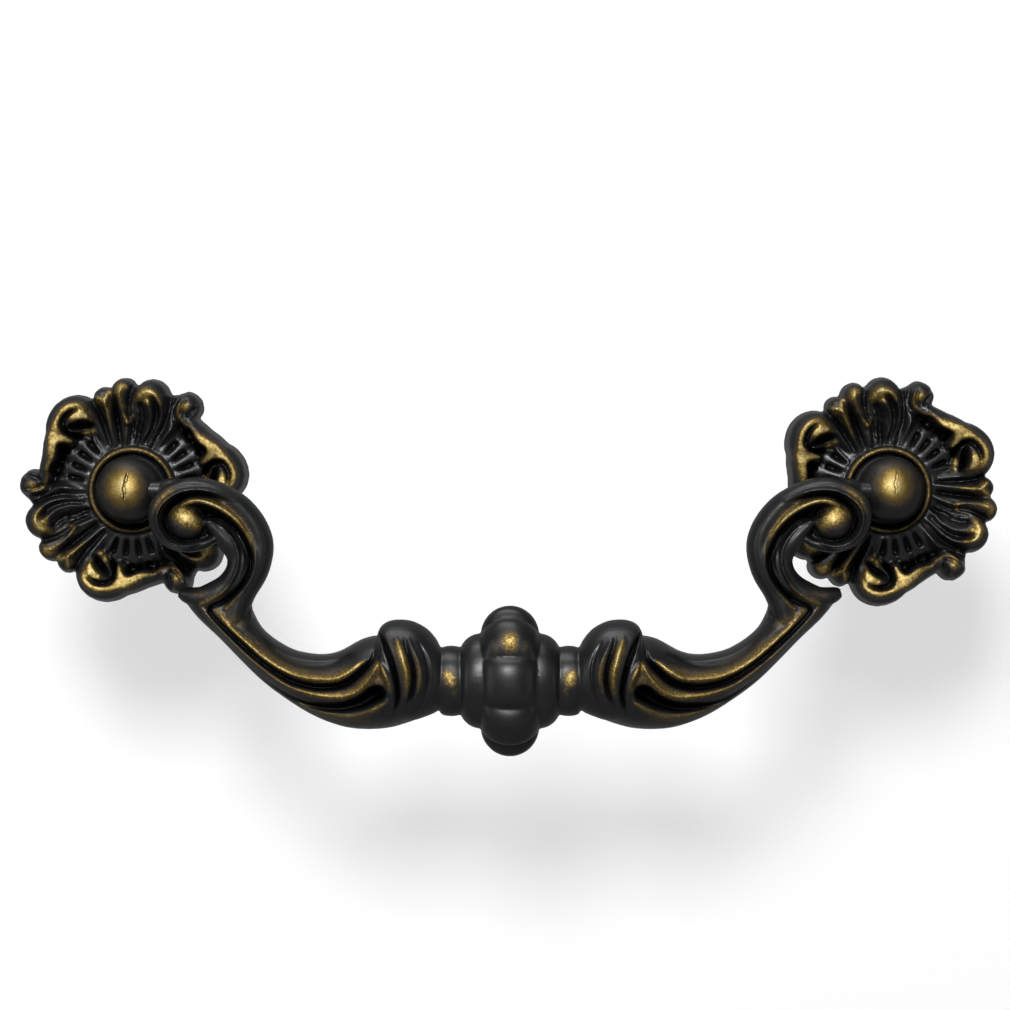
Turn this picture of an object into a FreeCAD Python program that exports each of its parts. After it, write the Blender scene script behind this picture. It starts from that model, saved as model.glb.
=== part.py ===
import FreeCAD, Part
import math
import os
import Sketcher
from FreeCAD import Placement, Rotation, Vector

# Drop pull for a drawer: a cast bail hangs between two domed posts.
# Each post stands in a leaf rosette, and a screw through the drawer front holds it.
# Millimetres. +X is right, +Y goes into the drawer front, +Z is up.
# The origin is midway between the posts, at their height, on the drawer front.

SIZES = [
    ("hole_spacing", 128.0, "between the axes of the two posts"),
    ("pivot_depth", 11.0, "bail's pivot, in front of the drawer front"),
    ("pin_radius", 1.5, "pivot pin cast on each end of the bail"),
    ("pin_clearance", 0.05, "between pin and hole, all round"),
    ("pin_end", 2.8, "end of the pin, from the post's axis"),
    ("pin_end_gap", 0.15, "between the pin's end and the bottom of its hole"),
    ("shoulder_radius", 2.1, "boss behind the pin"),
    ("shoulder_end", 6.1, "end of the boss, from the post's axis"),
    ("dome_radius", 5.65, "ball head of the post"),
    ("dome_depth", 8.2, "centre of the head, in front of the drawer front"),
    ("neck_radius", 4.5, "post between head and flange"),
    ("flange_radius", 5.85, "flange that holds the rosette down"),
    ("flange_height", 1.0, "thickness of the flange"),
    ("spigot_radius", 3.5, "post where it passes through the rosette"),
    ("spigot_clearance", 0.08, "between spigot and rosette, all round"),
    ("tap_radius", 1.7, "tapped hole in the post, at its core"),
    ("tap_length", 7.8, "full depth of the tapped hole"),
    ("screw_radius", 2.0, "shank of the screw"),
    ("screw_bite", 7.0, "length of screw inside the post"),
    ("thread_clearance", 0.05, "between the screw's core and the tapped hole"),
    ("drawer_wall", 18.0, "thickness of the drawer front"),
    ("head_radius", 4.0, "screw head"),
    ("head_height", 2.6, "screw head"),
    ("slot_width", 1.1, "screwdriver slot"),
    ("slot_sink", 1.3, "screwdriver slot"),
    ("rosette_radius", 19.2, "rosette, to the tips of its lobes"),
    ("rim_inset", 2.9, "round plate behind the relief, inward from the lobes' tips"),
    ("sector_start", 60.0, "left rosette, angle of its first sector, in degrees"),
    ("rosette_turn", 14.0, "right rosette, turned from the left one, in degrees"),
    ("seat_height", 3.4, "rosette's floor under the flange"),
    ("field_height", 2.3, "rosette's hollow field behind the scrolls"),
    ("ring_radius", 6.7, "raised ring round the flange"),
    ("ring_wall", 0.42, "half the width of the ring"),
    ("ring_crest", 4.9, "top of the ring above the drawer front"),
    ("scroll_crest", 6.1, "top of the rosette's scrolls above the drawer front"),
    ("recess_inner", 5.2, "hollow in the rosette's back, its inner edge"),
    ("recess_margin", 3.3, "solid edge of the plate round the hollow in its back"),
    ("recess_sink", 1.3, "hollow in the rosette's back"),
    ("bail_back", 8.0, "flat back of the bail, in front of the drawer front"),
    ("scroll_width", 24.4, "outer edge of the scroll, inward from the post's axis"),
    ("heel_inset", 16.6, "outer end of the horn, inward from the post's axis"),
    ("eye_inset", 10.1, "centre of the volute, inward from the post's axis"),
    ("eye_drop", 4.1, "centre of the volute, below the pivot"),
    ("eye_radius", 2.3, "ball at the centre of the volute"),
    ("volute_radius", 5.2, "floor of the volute"),
    ("bar_drop", 31.9, "axis of the turned middle, below the pivot"),
    ("horn_belly", 8.2, "lowest point of the horns, below the axis of the turned middle"),
    ("bar_depth", 11.4, "axis of the turned middle, in front of the drawer front"),
    ("bead_half_width", 4.75, "melon bead in the middle, half its length"),
    ("bead_radius", 12.4, "melon bead in the middle, axis to top"),
    ("bead_front", 7.2, "melon bead in the middle, axis to front"),
    ("ring_end", 7.4, "collar beside the bead, its outer end from the centre"),
    ("collar_radius", 7.9, "collar beside the bead"),
    ("neck_end", 11.0, "neck beside the collar, its outer end from the centre"),
    ("bar_radius", 5.9, "neck beside the collar"),
    ("cap_end", 21.8, "leaf cap, its outer end from the centre"),
    ("cap_half_height", 8.6, "leaf cap at its widest"),
    ("cap_lift", 1.2, "leaf cap's centre, above the axis of the turned middle"),
]

# How finely round forms are cut into flats
DOME_STEPS = 3
DISH_SIDES = 30
ARCH_STEPS = 3
KNOB_SIDES = 8
KNOB_RISES = (0, 50)
TUBE_SIDES = 8
BAR_SIDES = 12
BEAD_LOBES = 8
BEAD_GROOVE = 0.9

# Where the petals of the rosette's field stand, in degrees from the start of a sector
PETAL_ANGLES = (79.0, 90.5, 102.0, 113.0)

# Front of the horn from its upper edge to its lower one, as (share across, level), for a
# ridge depth of 0; RIDGE_SINKS gives how much of the ridge depth each point loses
HORN_LEVELS = (
    (0.0, 0.0), (0.02, 0.5), (0.09, 0.86), (0.19, 1.0), (0.28, 0.95), (0.35, 1.0), (0.45, 1.0),
    (0.55, 1.0), (0.63, 0.93), (0.7, 0.9), (0.8, 0.84), (0.9, 0.62), (0.98, 0.35), (1.0, 0.0),
)
RIDGE_SINKS = (0, 0, 0, 0, 0, 1, 0.3, 0, 0, 1, 0, 0, 0, 0)

# Turned middle as (share of the length, share of the half height, front as such a share)
CAP_STATIONS = (
    (0.0, 0.72, 0.535), (0.1, 0.93, 0.605), (0.28, 1.0, 0.65), (0.42, 1.0, 0.686),
    (0.54, 0.97, 0.64), (0.68, 0.93, 0.65), (0.85, 0.78, 0.57), (1.03, 0.6, 0.5),
)
NECK_STATIONS = ((0.0, 0.93, 0.695), (0.2, 1.0, 0.763), (0.8, 1.0, 0.763), (1.0, 0.93, 0.695))
COLLAR_STATIONS = ((0.0, 0.8, 0.557), (0.2, 0.88, 0.633), (0.6, 0.97, 0.696), (1.0, 1.0, 0.72))
# Melon bead as (share of the half length, share of the radius)
BEAD_STATIONS = ((0.0, 1.0), (0.42, 0.96), (0.74, 0.86), (0.94, 0.73), (1.0, 0.62))

# The scroll's stations are drawn for a scroll_width and a foot of these sizes
DRAWN_WIDTH = 24.4
DRAWN_FOOT = 20.0

doc = FreeCAD.newDocument("drop_pull")
sheet = doc.addObject("Spreadsheet::Sheet", "Sizes")
for row, (alias, value, note) in enumerate(SIZES, start=1):
    sheet.set(f"A{row}", note)
    sheet.set(f"B{row}", str(value))
    sheet.setAlias(f"B{row}", alias)
doc.recompute()


class Length:
    """A length that knows its value and the expression that gives it."""

    def __init__(self, value, text):
        self.value = value
        self.text = text

    def __add__(self, other):
        return Length(self.value + other.value, f"({self.text} + {other.text})")

    def __sub__(self, other):
        return Length(self.value - other.value, f"({self.text} - {other.text})")

    def __neg__(self):
        return Length(-self.value, f"(-{self.text})")

    def __mul__(self, factor):
        return Length(self.value * factor, f"({self.text} * {factor})")


def cell(alias):
    return Length(float(sheet.get(alias)), f"Sizes.{alias}")


def size(alias):
    return float(sheet.get(alias))


# Sketches


def new_sketch(body, name, plane_role):
    sketch = body.newObject("Sketcher::SketchObject", name)
    plane = next(part for part in body.Origin.OriginFeatures if part.Role == plane_role)
    sketch.AttachmentSupport = [(plane, "")]
    sketch.MapMode = "FlatFace"
    return sketch


def bind(sketch, kind, *where, length):
    """Add one constraint whose value follows the sheet."""
    index = sketch.addConstraint(Sketcher.Constraint(kind, *where, length.value))
    sketch.setExpression(f"Constraints[{index}]", length.text)


def closed_outline(sketch, corners):
    """Straight edges through (x, y) corners in Lengths; None puts a corner on the axis."""
    spots = [Vector(x.value if x else 0, y.value if y else 0, 0) for x, y in corners]
    count = len(corners)
    for i in range(count):
        sketch.addGeometry(Part.LineSegment(spots[i], spots[(i + 1) % count]))
    for i in range(count):
        sketch.addConstraint(Sketcher.Constraint("Coincident", i, 2, (i + 1) % count, 1))
    for i, (x, y) in enumerate(corners):
        if x is None:
            sketch.addConstraint(Sketcher.Constraint("PointOnObject", i, 1, -2))
        else:
            bind(sketch, "DistanceX", -1, 1, i, 1, length=x)
        if y is None:
            sketch.addConstraint(Sketcher.Constraint("PointOnObject", i, 1, -1))
        else:
            bind(sketch, "DistanceY", -1, 1, i, 1, length=y)


def revolved(body, name, corners):
    """Turn an outline of (radius, depth) corners about the body's Y axis."""
    sketch = new_sketch(body, f"{name}_outline", "XY_Plane")
    closed_outline(sketch, corners)
    turned = body.newObject("PartDesign::Revolution", name)
    turned.Profile = sketch
    turned.ReferenceAxis = (sketch, ["V_Axis"])
    turned.Angle = 360
    sketch.Visibility = False
    doc.recompute()
    return turned


# Posts and screws


def place_at_post(item, side, turn=0.0):
    """side is -1 for the left post and +1 for the right one; turn is about Y."""
    item.Placement = Placement(Vector(), Rotation(Vector(0, 1, 0), turn))
    item.setExpression("Placement.Base.x", f"Sizes.hole_spacing / 2 * {side}")


def make_post(label, side):
    """Ball head, neck, flange and spigot, tapped from behind, drilled for the pin."""
    body = doc.addObject("PartDesign::Body", label)
    body.Label = label
    depth = -cell("dome_depth")
    flange_back = -cell("seat_height")
    flange_front = flange_back - cell("flange_height")
    neck_top = depth + cell("dome_radius") * 0.3
    dome = [(None, depth - cell("dome_radius"))]
    for step in range(1, DOME_STEPS + 1):
        turn = math.pi / 2 * step / DOME_STEPS
        across, ahead = round(math.sin(turn), 4), round(math.cos(turn), 4)
        dome.append((cell("dome_radius") * across, depth - cell("dome_radius") * ahead))
    corners = dome + [
        (cell("neck_radius"), neck_top),
        (cell("neck_radius"), flange_front),
        (cell("flange_radius"), flange_front),
        (cell("flange_radius"), flange_back),
        (cell("spigot_radius"), flange_back),
        (cell("spigot_radius"), None),
        (cell("tap_radius"), None),
        (cell("tap_radius"), -cell("tap_length")),
        (None, -cell("tap_length")),
    ]
    revolved(body, f"{label}_turning", corners)

    hole_radius = cell("pin_radius") + cell("pin_clearance")
    hole_bottom = cell("pin_end") - cell("pin_end_gap")
    sketch = new_sketch(body, f"{label}_pin_circle", "YZ_Plane")
    sketch.AttachmentOffset = Placement(Vector(0, 0, hole_bottom.value), Rotation())
    sketch.setExpression("AttachmentOffset.Base.z", hole_bottom.text)
    centre = Vector(-size("pivot_depth"), 0, 0)
    sketch.addGeometry(Part.Circle(centre, Vector(0, 0, 1), hole_radius.value))
    bind(sketch, "DistanceX", -1, 1, 0, 3, length=-cell("pivot_depth"))
    sketch.addConstraint(Sketcher.Constraint("PointOnObject", 0, 3, -1))
    bind(sketch, "Radius", 0, length=hole_radius)
    pocket = body.newObject("PartDesign::Pocket", f"{label}_pin_hole")
    pocket.Profile = sketch
    pocket.Reversed = True
    pocket.Length = size("dome_radius")
    pocket.setExpression("Length", "Sizes.dome_radius")
    sketch.Visibility = False
    place_at_post(body, side, turn=0.0 if side < 0 else 180.0)
    return body


def make_screw(label, side):
    """Pan head behind the drawer front, shank through it, core in the post."""
    body = doc.addObject("PartDesign::Body", label)
    body.Label = label
    core = cell("tap_radius") - cell("thread_clearance")
    head_back = cell("drawer_wall") + cell("head_height")
    corners = [
        (None, -cell("screw_bite")),
        (core, -cell("screw_bite")),
        (core, None),
        (cell("screw_radius"), None),
        (cell("screw_radius"), cell("drawer_wall")),
        (cell("head_radius"), cell("drawer_wall")),
        (cell("head_radius"), head_back - cell("head_height") * 0.5),
        (cell("head_radius") * 0.72, head_back),
        (None, head_back),
    ]
    revolved(body, f"{label}_turning", corners)

    slot = new_sketch(body, f"{label}_slot_outline", "XZ_Plane")
    reach, half = cell("head_radius") * 1.2, cell("slot_width") * 0.5
    closed_outline(slot, [(-reach, -half), (reach, -half), (reach, half), (-reach, half)])
    floor = head_back - cell("slot_sink")
    slot.AttachmentOffset = Placement(Vector(0, 0, -floor.value), Rotation())
    slot.setExpression("AttachmentOffset.Base.z", f"-{floor.text}")
    pocket = body.newObject("PartDesign::Pocket", f"{label}_slot")
    pocket.Profile = slot
    pocket.Length = size("head_height")
    pocket.setExpression("Length", "Sizes.head_height")
    slot.Visibility = False
    place_at_post(body, side)
    return body


# Rosette: sections stand on the drawer front plane, and rise towards -Y


def polar(angle, radius):
    turn = math.radians(angle)
    return Vector(radius * math.cos(turn), 0, radius * math.sin(turn))


def faceted_solid(rings):
    """A closed solid of flat facets through rings of equally many points."""
    faces = [Part.Face(Part.makePolygon(ring + ring[:1])) for ring in (rings[0], rings[-1])]
    count = len(rings[0])
    for near, far in zip(rings, rings[1:]):
        for i in range(count):
            j = (i + 1) % count
            for corners in ((near[i], near[j], far[j]), (near[i], far[j], far[i])):
                faces.append(Part.Face(Part.makePolygon(list(corners) + [corners[0]])))
    solid = Part.makeSolid(Part.makeShell(faces))
    if solid.Volume < 0:
        solid.reverse()
    return solid


def arch_points(spot, across, half_width, crest, steps=ARCH_STEPS):
    """An arch on two legs that stand on the plane Y = 0."""
    leg = max(crest - half_width, crest * 0.3)
    points = [spot - across * half_width]
    for step in range(steps + 1):
        turn = math.pi * step / steps
        rise = leg + (crest - leg) * math.sin(turn)
        points.append(spot - across * (half_width * math.cos(turn)) + Vector(0, -rise, 0))
    return points + [spot + across * half_width]


def arched_rib(path):
    """A rib through (angle, radius, half width, crest) stations."""
    spots = [polar(angle, radius) for angle, radius, _, _ in path]
    return faceted_solid([
        arch_points(spots[i], across_path(spots, i), half_width, crest)
        for i, (_, _, half_width, crest) in enumerate(path)
    ])


def across_path(spots, i):
    """Unit vector in the XZ plane, square to the path at point i."""
    along = spots[min(i + 1, len(spots) - 1)] - spots[max(i - 1, 0)]
    return along.normalize().cross(Vector(0, 1, 0))


def turned_solid(levels, sides):
    """A solid of flats turned about the Y axis through (radius, height) levels."""
    turns = [2 * math.pi * side / sides for side in range(sides)]
    rings = [[Vector(r * math.cos(t), -h, r * math.sin(t)) for t in turns] for r, h in levels]
    return faceted_solid(rings)


def knob(spot, ball, crest):
    """A round post with a ball top, standing on the plane Y = 0 at a spot."""
    levels = [(ball, 0.0)]
    for rise in KNOB_RISES:
        turn = math.radians(rise)
        levels.append((ball * math.cos(turn), crest - ball + ball * math.sin(turn)))
    solid = turned_solid(levels, KNOB_SIDES)
    solid.translate(spot)
    return solid


def relief_radius(share):
    """A radius between the ring and the tips of the lobes."""
    return size("ring_radius") + relief_length(share)


def relief_length(share):
    return (size("rosette_radius") - size("ring_radius")) * share


def relief_rib(path):
    """A rib through (angle, radius, half width, level), all but the angle as shares."""
    return arched_rib([
        (angle, relief_radius(out), relief_length(half), size("scroll_crest") * level)
        for angle, out, half, level in path
    ])


def relief_knob(angle, out, ball, level):
    spot = polar(angle, relief_radius(out))
    return knob(spot, relief_length(ball), size("scroll_crest") * level)


def rim_scroll():
    """C-scroll along the rim, from its curl to its ball, and the stalk that carries it."""
    scroll = relief_rib([
        (59, 0.52, 0.072, 0.80),
        (57, 0.70, 0.088, 0.92),
        (62, 0.84, 0.10, 1.0),
        (70, 0.90, 0.108, 1.0),
        (79, 0.855, 0.108, 0.98),
        (88, 0.77, 0.116, 0.95),
        (97, 0.70, 0.12, 0.92),
        (106, 0.67, 0.108, 0.87),
        (113, 0.735, 0.10, 0.84),
    ])
    bridge = relief_rib([(76, 0.735, 0.064, 0.82), (73.5, 0.56, 0.056, 0.75), (68, 0.465, 0.048, 0.69)])
    stalk = relief_rib([(60, 0.545, 0.068, 0.77), (64, 0.345, 0.052, 0.64), (68, 0.015, 0.04, 0.62)])
    ball = relief_knob(117, 0.825, 0.192, 0.90)
    eye = relief_knob(65, 0.69, 0.104, 0.88)
    return [scroll, bridge, stalk, ball, eye]


def leaf():
    """A curled lobe, then two smaller ones, and a plain rib beside the ball."""
    return [
        relief_rib([(16, 0.015, 0.088, 0.53), (13, 0.36, 0.152, 0.64), (17, 0.76, 0.208, 0.90)]),
        relief_rib([(38, 0.015, 0.056, 0.59), (34.5, 0.44, 0.112, 0.62), (34.8, 0.815, 0.16, 0.84)]),
        relief_rib([(52, 0.015, 0.048, 0.59), (48.5, 0.425, 0.096, 0.58), (47.2, 0.76, 0.128, 0.75)]),
        relief_rib([(3, 0.015, 0.044, 0.53), (0.5, 0.385, 0.056, 0.59), (3, 0.71, 0.068, 0.62)]),
        relief_knob(18, 0.755, 0.232, 0.98),
        relief_knob(34.8, 0.815, 0.176, 0.90),
        relief_knob(47.2, 0.765, 0.148, 0.80),
    ]


def petal(angle):
    """A short petal of the hollow field, standing out from the ring."""
    return relief_rib([
        (angle, 0.015, 0.04, 0.53),
        (angle - 0.5, 0.21, 0.06, 0.56),
        (angle - 1.0, 0.37, 0.04, 0.46),
    ])


def rosette_sector():
    """One third of the relief, from the ball's gap round to the next ball."""
    return rim_scroll() + leaf() + [petal(angle) for angle in PETAL_ANGLES]


def rosette_dish():
    """Round plate with the raised ring, bored later for the seat of the flange."""
    edge, field = size("rosette_radius") - size("rim_inset"), size("field_height")
    ring, wall, crest = size("ring_radius"), size("ring_wall"), size("ring_crest")
    shoulder = size("seat_height")
    levels = [
        (edge, 0.0),
        (edge, field),
        (ring + 2.4, field),
        (ring + wall + 0.15, shoulder),
        (ring + wall, crest - wall),
        (ring + wall * 0.4, crest),
    ]
    return turned_solid(levels, DISH_SIDES)


def ring_opening():
    """What the ring encloses: its inner wall, down to the floor for the flange."""
    inner, crest = size("ring_radius") - size("ring_wall"), size("ring_crest")
    levels = [
        (inner, size("seat_height")),
        (inner, crest - size("ring_wall")),
        (inner + size("ring_wall") * 1.5, crest + size("ring_wall") * 0.5),
    ]
    return turned_solid(levels, DISH_SIDES)


def rosette_relief():
    """Three equal sectors on the dish."""
    pieces = []
    for third in range(3):
        for piece in rosette_sector():
            turned = piece.copy()
            turned.rotate(Vector(), Vector(0, -1, 0), size("sector_start") + 120 * third)
            pieces.append(turned)
    return rosette_dish().multiFuse(pieces).cut(ring_opening()).removeSplitter()


def ring_cylinder(name, radius, height):
    """A cylinder from the plane Y = 0 towards -Y, with its sizes on the sheet."""
    cylinder = doc.addObject("Part::Cylinder", name)
    cylinder.Placement = Placement(Vector(), Rotation(Vector(1, 0, 0), 90))
    cylinder.setExpression("Radius", radius.text)
    cylinder.setExpression("Height", height.text)
    return cylinder


def make_rosette(label, side, relief, turn):
    """The relief, hollowed behind and bored for the post's spigot."""
    blank = doc.addObject("Part::Feature", f"{label}_relief")
    blank.Shape = relief
    recess_outer = cell("rosette_radius") - cell("rim_inset") - cell("recess_margin")
    outer = ring_cylinder(f"{label}_recess_outer", recess_outer, cell("recess_sink"))
    inner = ring_cylinder(f"{label}_recess_inner", cell("recess_inner"), cell("recess_sink"))
    recess = doc.addObject("Part::Cut", f"{label}_recess")
    recess.Base, recess.Tool = outer, inner
    bore_radius = cell("spigot_radius") + cell("spigot_clearance")
    bore = ring_cylinder(f"{label}_bore", bore_radius, cell("seat_height") * 2)
    tools = doc.addObject("Part::MultiFuse", f"{label}_tools")
    tools.Shapes = [recess, bore]
    rosette = doc.addObject("Part::Cut", label)
    rosette.Base, rosette.Tool = blank, tools
    rosette.Label = label
    place_at_post(rosette, side, turn)
    return rosette


# Bail: a right half is shaped, mirrored, and joined at the bead


def scroll_scale():
    return size("scroll_width") / DRAWN_WIDTH


def from_post(inset, height):
    """A point of the scroll, given by its distance in from the post's axis."""
    scale = scroll_scale()
    return Vector(size("hole_spacing") / 2 - inset * scale, 0, height * scale)


def on_horn(along, down):
    """A point of the horn; along runs from cap to heel, down from the scroll's foot to the belly."""
    cap, heel = size("cap_end"), size("hole_spacing") / 2 - size("heel_inset")
    foot, bottom = -DRAWN_FOOT * scroll_scale(), -size("bar_drop") - size("horn_belly")
    return Vector(cap + (heel - cap) * along, 0, foot + (bottom - foot) * down)


def oval_points(centre, across, half_width, half_depth, sides=TUBE_SIDES):
    """Points of an oval about a centre, first along across, then towards -Y."""
    points = []
    for side in range(sides):
        turn = 2 * math.pi * (side + 0.5) / sides
        aside, ahead = half_width * math.cos(turn), half_depth * math.sin(turn)
        points.append(centre + across * aside + Vector(0, -ahead, 0))
    return points


def tube(stations):
    """A tapering oval tube through (spot, half width, distance ahead of the pivot, half depth)."""
    spots = [station[0] for station in stations]
    scale, rings = scroll_scale(), []
    for i, (spot, half_width, ahead, half_depth) in enumerate(stations):
        centre = spot + Vector(0, -size("pivot_depth") - ahead * scale, 0)
        across = across_path(spots, i)
        rings.append(oval_points(centre, across, half_width * scale, half_depth * scale))
    return faceted_solid(rings)


def outer_member():
    """From the horn's notch up the outside, over the top and round the volute."""
    return tube([
        (from_post(18.0, -21.2), 2.3, -0.3, 3.0),
        (from_post(19.4, -17.2), 2.1, -0.2, 3.0),
        (from_post(21.9, -13.2), 2.1, 0.0, 3.0),
        (from_post(22.2, -8.9), 2.1, 0.2, 3.0),
        (from_post(20.7, -5.2), 2.1, 0.5, 3.0),
        (from_post(18.0, -2.1), 2.0, 0.9, 2.9),
        (from_post(14.4, -0.1), 1.8, 1.2, 2.8),
        (from_post(10.8, 0.6), 1.55, 1.6, 2.6),
        (from_post(7.5, -0.5), 1.4, 2.3, 2.2),
        (from_post(5.45, -2.6), 1.4, 2.9, 1.9),
        (from_post(5.2, -5.2), 1.35, 2.9, 1.9),
        (from_post(6.5, -7.8), 1.3, 2.5, 1.9),
        (from_post(9.1, -9.2), 1.2, 2.0, 2.0),
        (from_post(11.7, -9.0), 1.0, 1.6, 2.0),
        (from_post(13.4, -7.8), 0.75, 1.4, 1.8),
    ])


def spiral_arm():
    """The bright band that unrolls from the eye down the outer member."""
    return tube([
        (from_post(9.4, -2.5), 0.8, 2.4, 1.6),
        (from_post(12.4, -1.9), 1.0, 2.2, 1.8),
        (from_post(15.5, -2.9), 1.15, 1.9, 1.9),
        (from_post(18.3, -5.2), 1.1, 1.6, 1.9),
        (from_post(20.0, -8.4), 0.75, 1.3, 1.8),
    ])


def inner_member():
    """The stem between the volute and the heel, round the crescent gap."""
    return tube([
        (from_post(14.0, -4.6), 1.3, 0.8, 2.2),
        (from_post(16.2, -6.9), 1.8, 0.3, 2.5),
        (from_post(18.1, -9.6), 2.0, 0.0, 2.6),
        (from_post(18.7, -12.0), 2.0, -0.2, 2.7),
        (from_post(18.2, -14.0), 2.0, -0.3, 2.7),
        (from_post(16.7, -15.9), 2.0, -0.4, 2.7),
        (from_post(14.6, -17.3), 2.1, -0.5, 2.7),
        (from_post(12.4, -18.0), 1.9, -0.7, 2.5),
        (from_post(10.6, -17.6), 1.5, -0.9, 2.1),
        (from_post(9.4, -17.1), 1.0, -1.0, 1.6),
    ])


def volute():
    """The floor of the scroll, its ball eye, and the boss and pin of the pivot."""
    pivot = size("pivot_depth")
    eye = from_post(size("eye_inset"), -size("eye_drop"))
    rim, back, front = size("volute_radius"), pivot - 1.0, pivot + 2.0
    floor = turned_solid([(rim, back), (rim - 0.8, front)], DISH_SIDES // 2)
    floor.translate(eye)
    ball = knob(eye, size("eye_radius"), front + 0.3 + size("eye_radius"))
    post = size("hole_spacing") / 2
    root = post - size("eye_inset")
    axis = Vector(1, 0, 0)
    start = Vector(root, -pivot, 0)
    boss = Part.makeCylinder(size("shoulder_radius"), post - size("shoulder_end") - root, start, axis)
    pin = Part.makeCylinder(size("pin_radius"), post - size("pin_end") - root, start, axis)
    return [floor, ball, boss, pin]


def ridged_points(upper, lower, rise, ridge):
    """Flat back, and a front with three ridges and two hollows between them."""
    back = Vector(0, -size("bail_back"), 0)
    across = lower - upper
    points = []
    for (share, level), sink in zip(HORN_LEVELS, RIDGE_SINKS):
        ahead = Vector(0, -rise * scroll_scale() * (level - ridge * sink), 0)
        points.append(upper + back + across * share + ahead)
    return points


def horn():
    """The leafy arm from the heel to the cap, ridged along its length."""
    stations = [
        (from_post(20.4, -16.6), from_post(9.0, -17.3), 4.6, 0.10),
        (from_post(20.6, -19.6), from_post(12.0, -21.4), 5.2, 0.14),
        (on_horn(0.789, 0.124), on_horn(1.031, 0.248), 5.4, 0.16),
        (on_horn(0.723, 0.213), on_horn(0.906, 0.401), 5.5, 0.17),
        (on_horn(0.641, 0.285), on_horn(0.770, 0.574), 5.6, 0.18),
        (on_horn(0.543, 0.342), on_horn(0.620, 0.728), 6.0, 0.2),
        (on_horn(0.395, 0.371), on_horn(0.437, 0.871), 6.5, 0.2),
        (on_horn(0.27, 0.347), on_horn(0.266, 0.96), 7.0, 0.2),
        (on_horn(0.10, 0.238), on_horn(0.11, 1.0), 7.4, 0.18),
        (on_horn(-0.08, 0.2), on_horn(-0.08, 0.985), 7.4, 0.12),
    ]
    return faceted_solid([ridged_points(*station) for station in stations])


def bar_ring(x, half_height, front, lift):
    """An oval of the turned middle, square to the X axis."""
    centre = Vector(x, -size("bar_depth"), lift - size("bar_drop"))
    return oval_points(centre, Vector(0, 0, 1), half_height, front, sides=BAR_SIDES)


def turned_run(start, stop, half_height, stations, lift=0.0):
    """A length of the turned middle between two X positions."""
    return faceted_solid([
        bar_ring(start + (stop - start) * along, half_height * height, half_height * front, lift)
        for along, height, front in stations
    ])


def turned_middle():
    """Leaf cap with its two raised folds, then neck and collar, each run overlapping the next."""
    overlap = 0.4
    neck_end, ring_end, bead_end = size("neck_end"), size("ring_end"), size("bead_half_width")
    return [
        turned_run(size("cap_end"), neck_end, size("cap_half_height"), CAP_STATIONS, size("cap_lift")),
        turned_run(neck_end + overlap, ring_end - overlap, size("bar_radius"), NECK_STATIONS),
        turned_run(ring_end, bead_end - overlap, size("collar_radius"), COLLAR_STATIONS),
    ]


def bead_ring(x, share):
    """A ring of the bead's lobes, with a crease between each two."""
    ring = []
    for side in range(2 * BEAD_LOBES):
        turn = math.pi * side / BEAD_LOBES
        reach = share * (BEAD_GROOVE if side % 2 else 1.0)
        height = size("bead_radius") * reach * math.cos(turn) - size("bar_drop")
        depth = size("bead_front") * reach * math.sin(turn) + size("bar_depth")
        ring.append(Vector(x, -depth, height))
    return ring


def bead():
    """Half of the melon bead, from the middle plane to its end."""
    half_width = size("bead_half_width")
    return faceted_solid([bead_ring(half_width * along, share) for along, share in BEAD_STATIONS])


def make_bail(label):
    """Everything between the two pins is one casting with a flat back."""
    scrolls = [outer_member(), spiral_arm(), inner_member()] + volute()
    half = scrolls[0].multiFuse(scrolls[1:] + [horn()] + turned_middle() + [bead()])
    span = size("hole_spacing") * 2
    behind = Part.makeBox(span, span, span, Vector(-span / 2, -size("bail_back"), -span / 2))
    half = half.cut(behind)
    shape = half.fuse(half.mirror(Vector(), Vector(1, 0, 0))).removeSplitter()
    bail = doc.addObject("Part::Feature", label)
    bail.Label = label
    bail.Shape = shape.Solids[0] if len(shape.Solids) == 1 else shape
    bail.Placement = Placement()
    return bail


relief = rosette_relief()
nodes = [
    make_bail("bail"),
    make_post("left_post", -1),
    make_post("right_post", 1),
    make_rosette("left_rosette", -1, relief, 0.0),
    make_rosette("right_rosette", 1, relief, -size("rosette_turn")),
    make_screw("left_screw", -1),
    make_screw("right_screw", 1),
]
doc.recompute()

for item in doc.Objects:
    if "Invalid" in item.State or "Error" in item.State:
        raise RuntimeError(f"{item.Name} failed: {item.State}")
for node in nodes:
    if node.Shape.isNull() or not node.Shape.isValid():
        raise RuntimeError(f"{node.Label} has no valid shape")

os.makedirs("parts", exist_ok=True)
for node in nodes:
    node.Shape.exportStep(f"parts/{node.Label}.step")
    box = node.Shape.BoundBox
    print(node.Label, len(node.Shape.Solids), "solid", round(node.Shape.Volume, 1), "mm3",
          [round(v, 2) for v in (box.XMin, box.XMax, box.YMin, box.YMax, box.ZMin, box.ZMax)])
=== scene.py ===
import math

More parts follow.
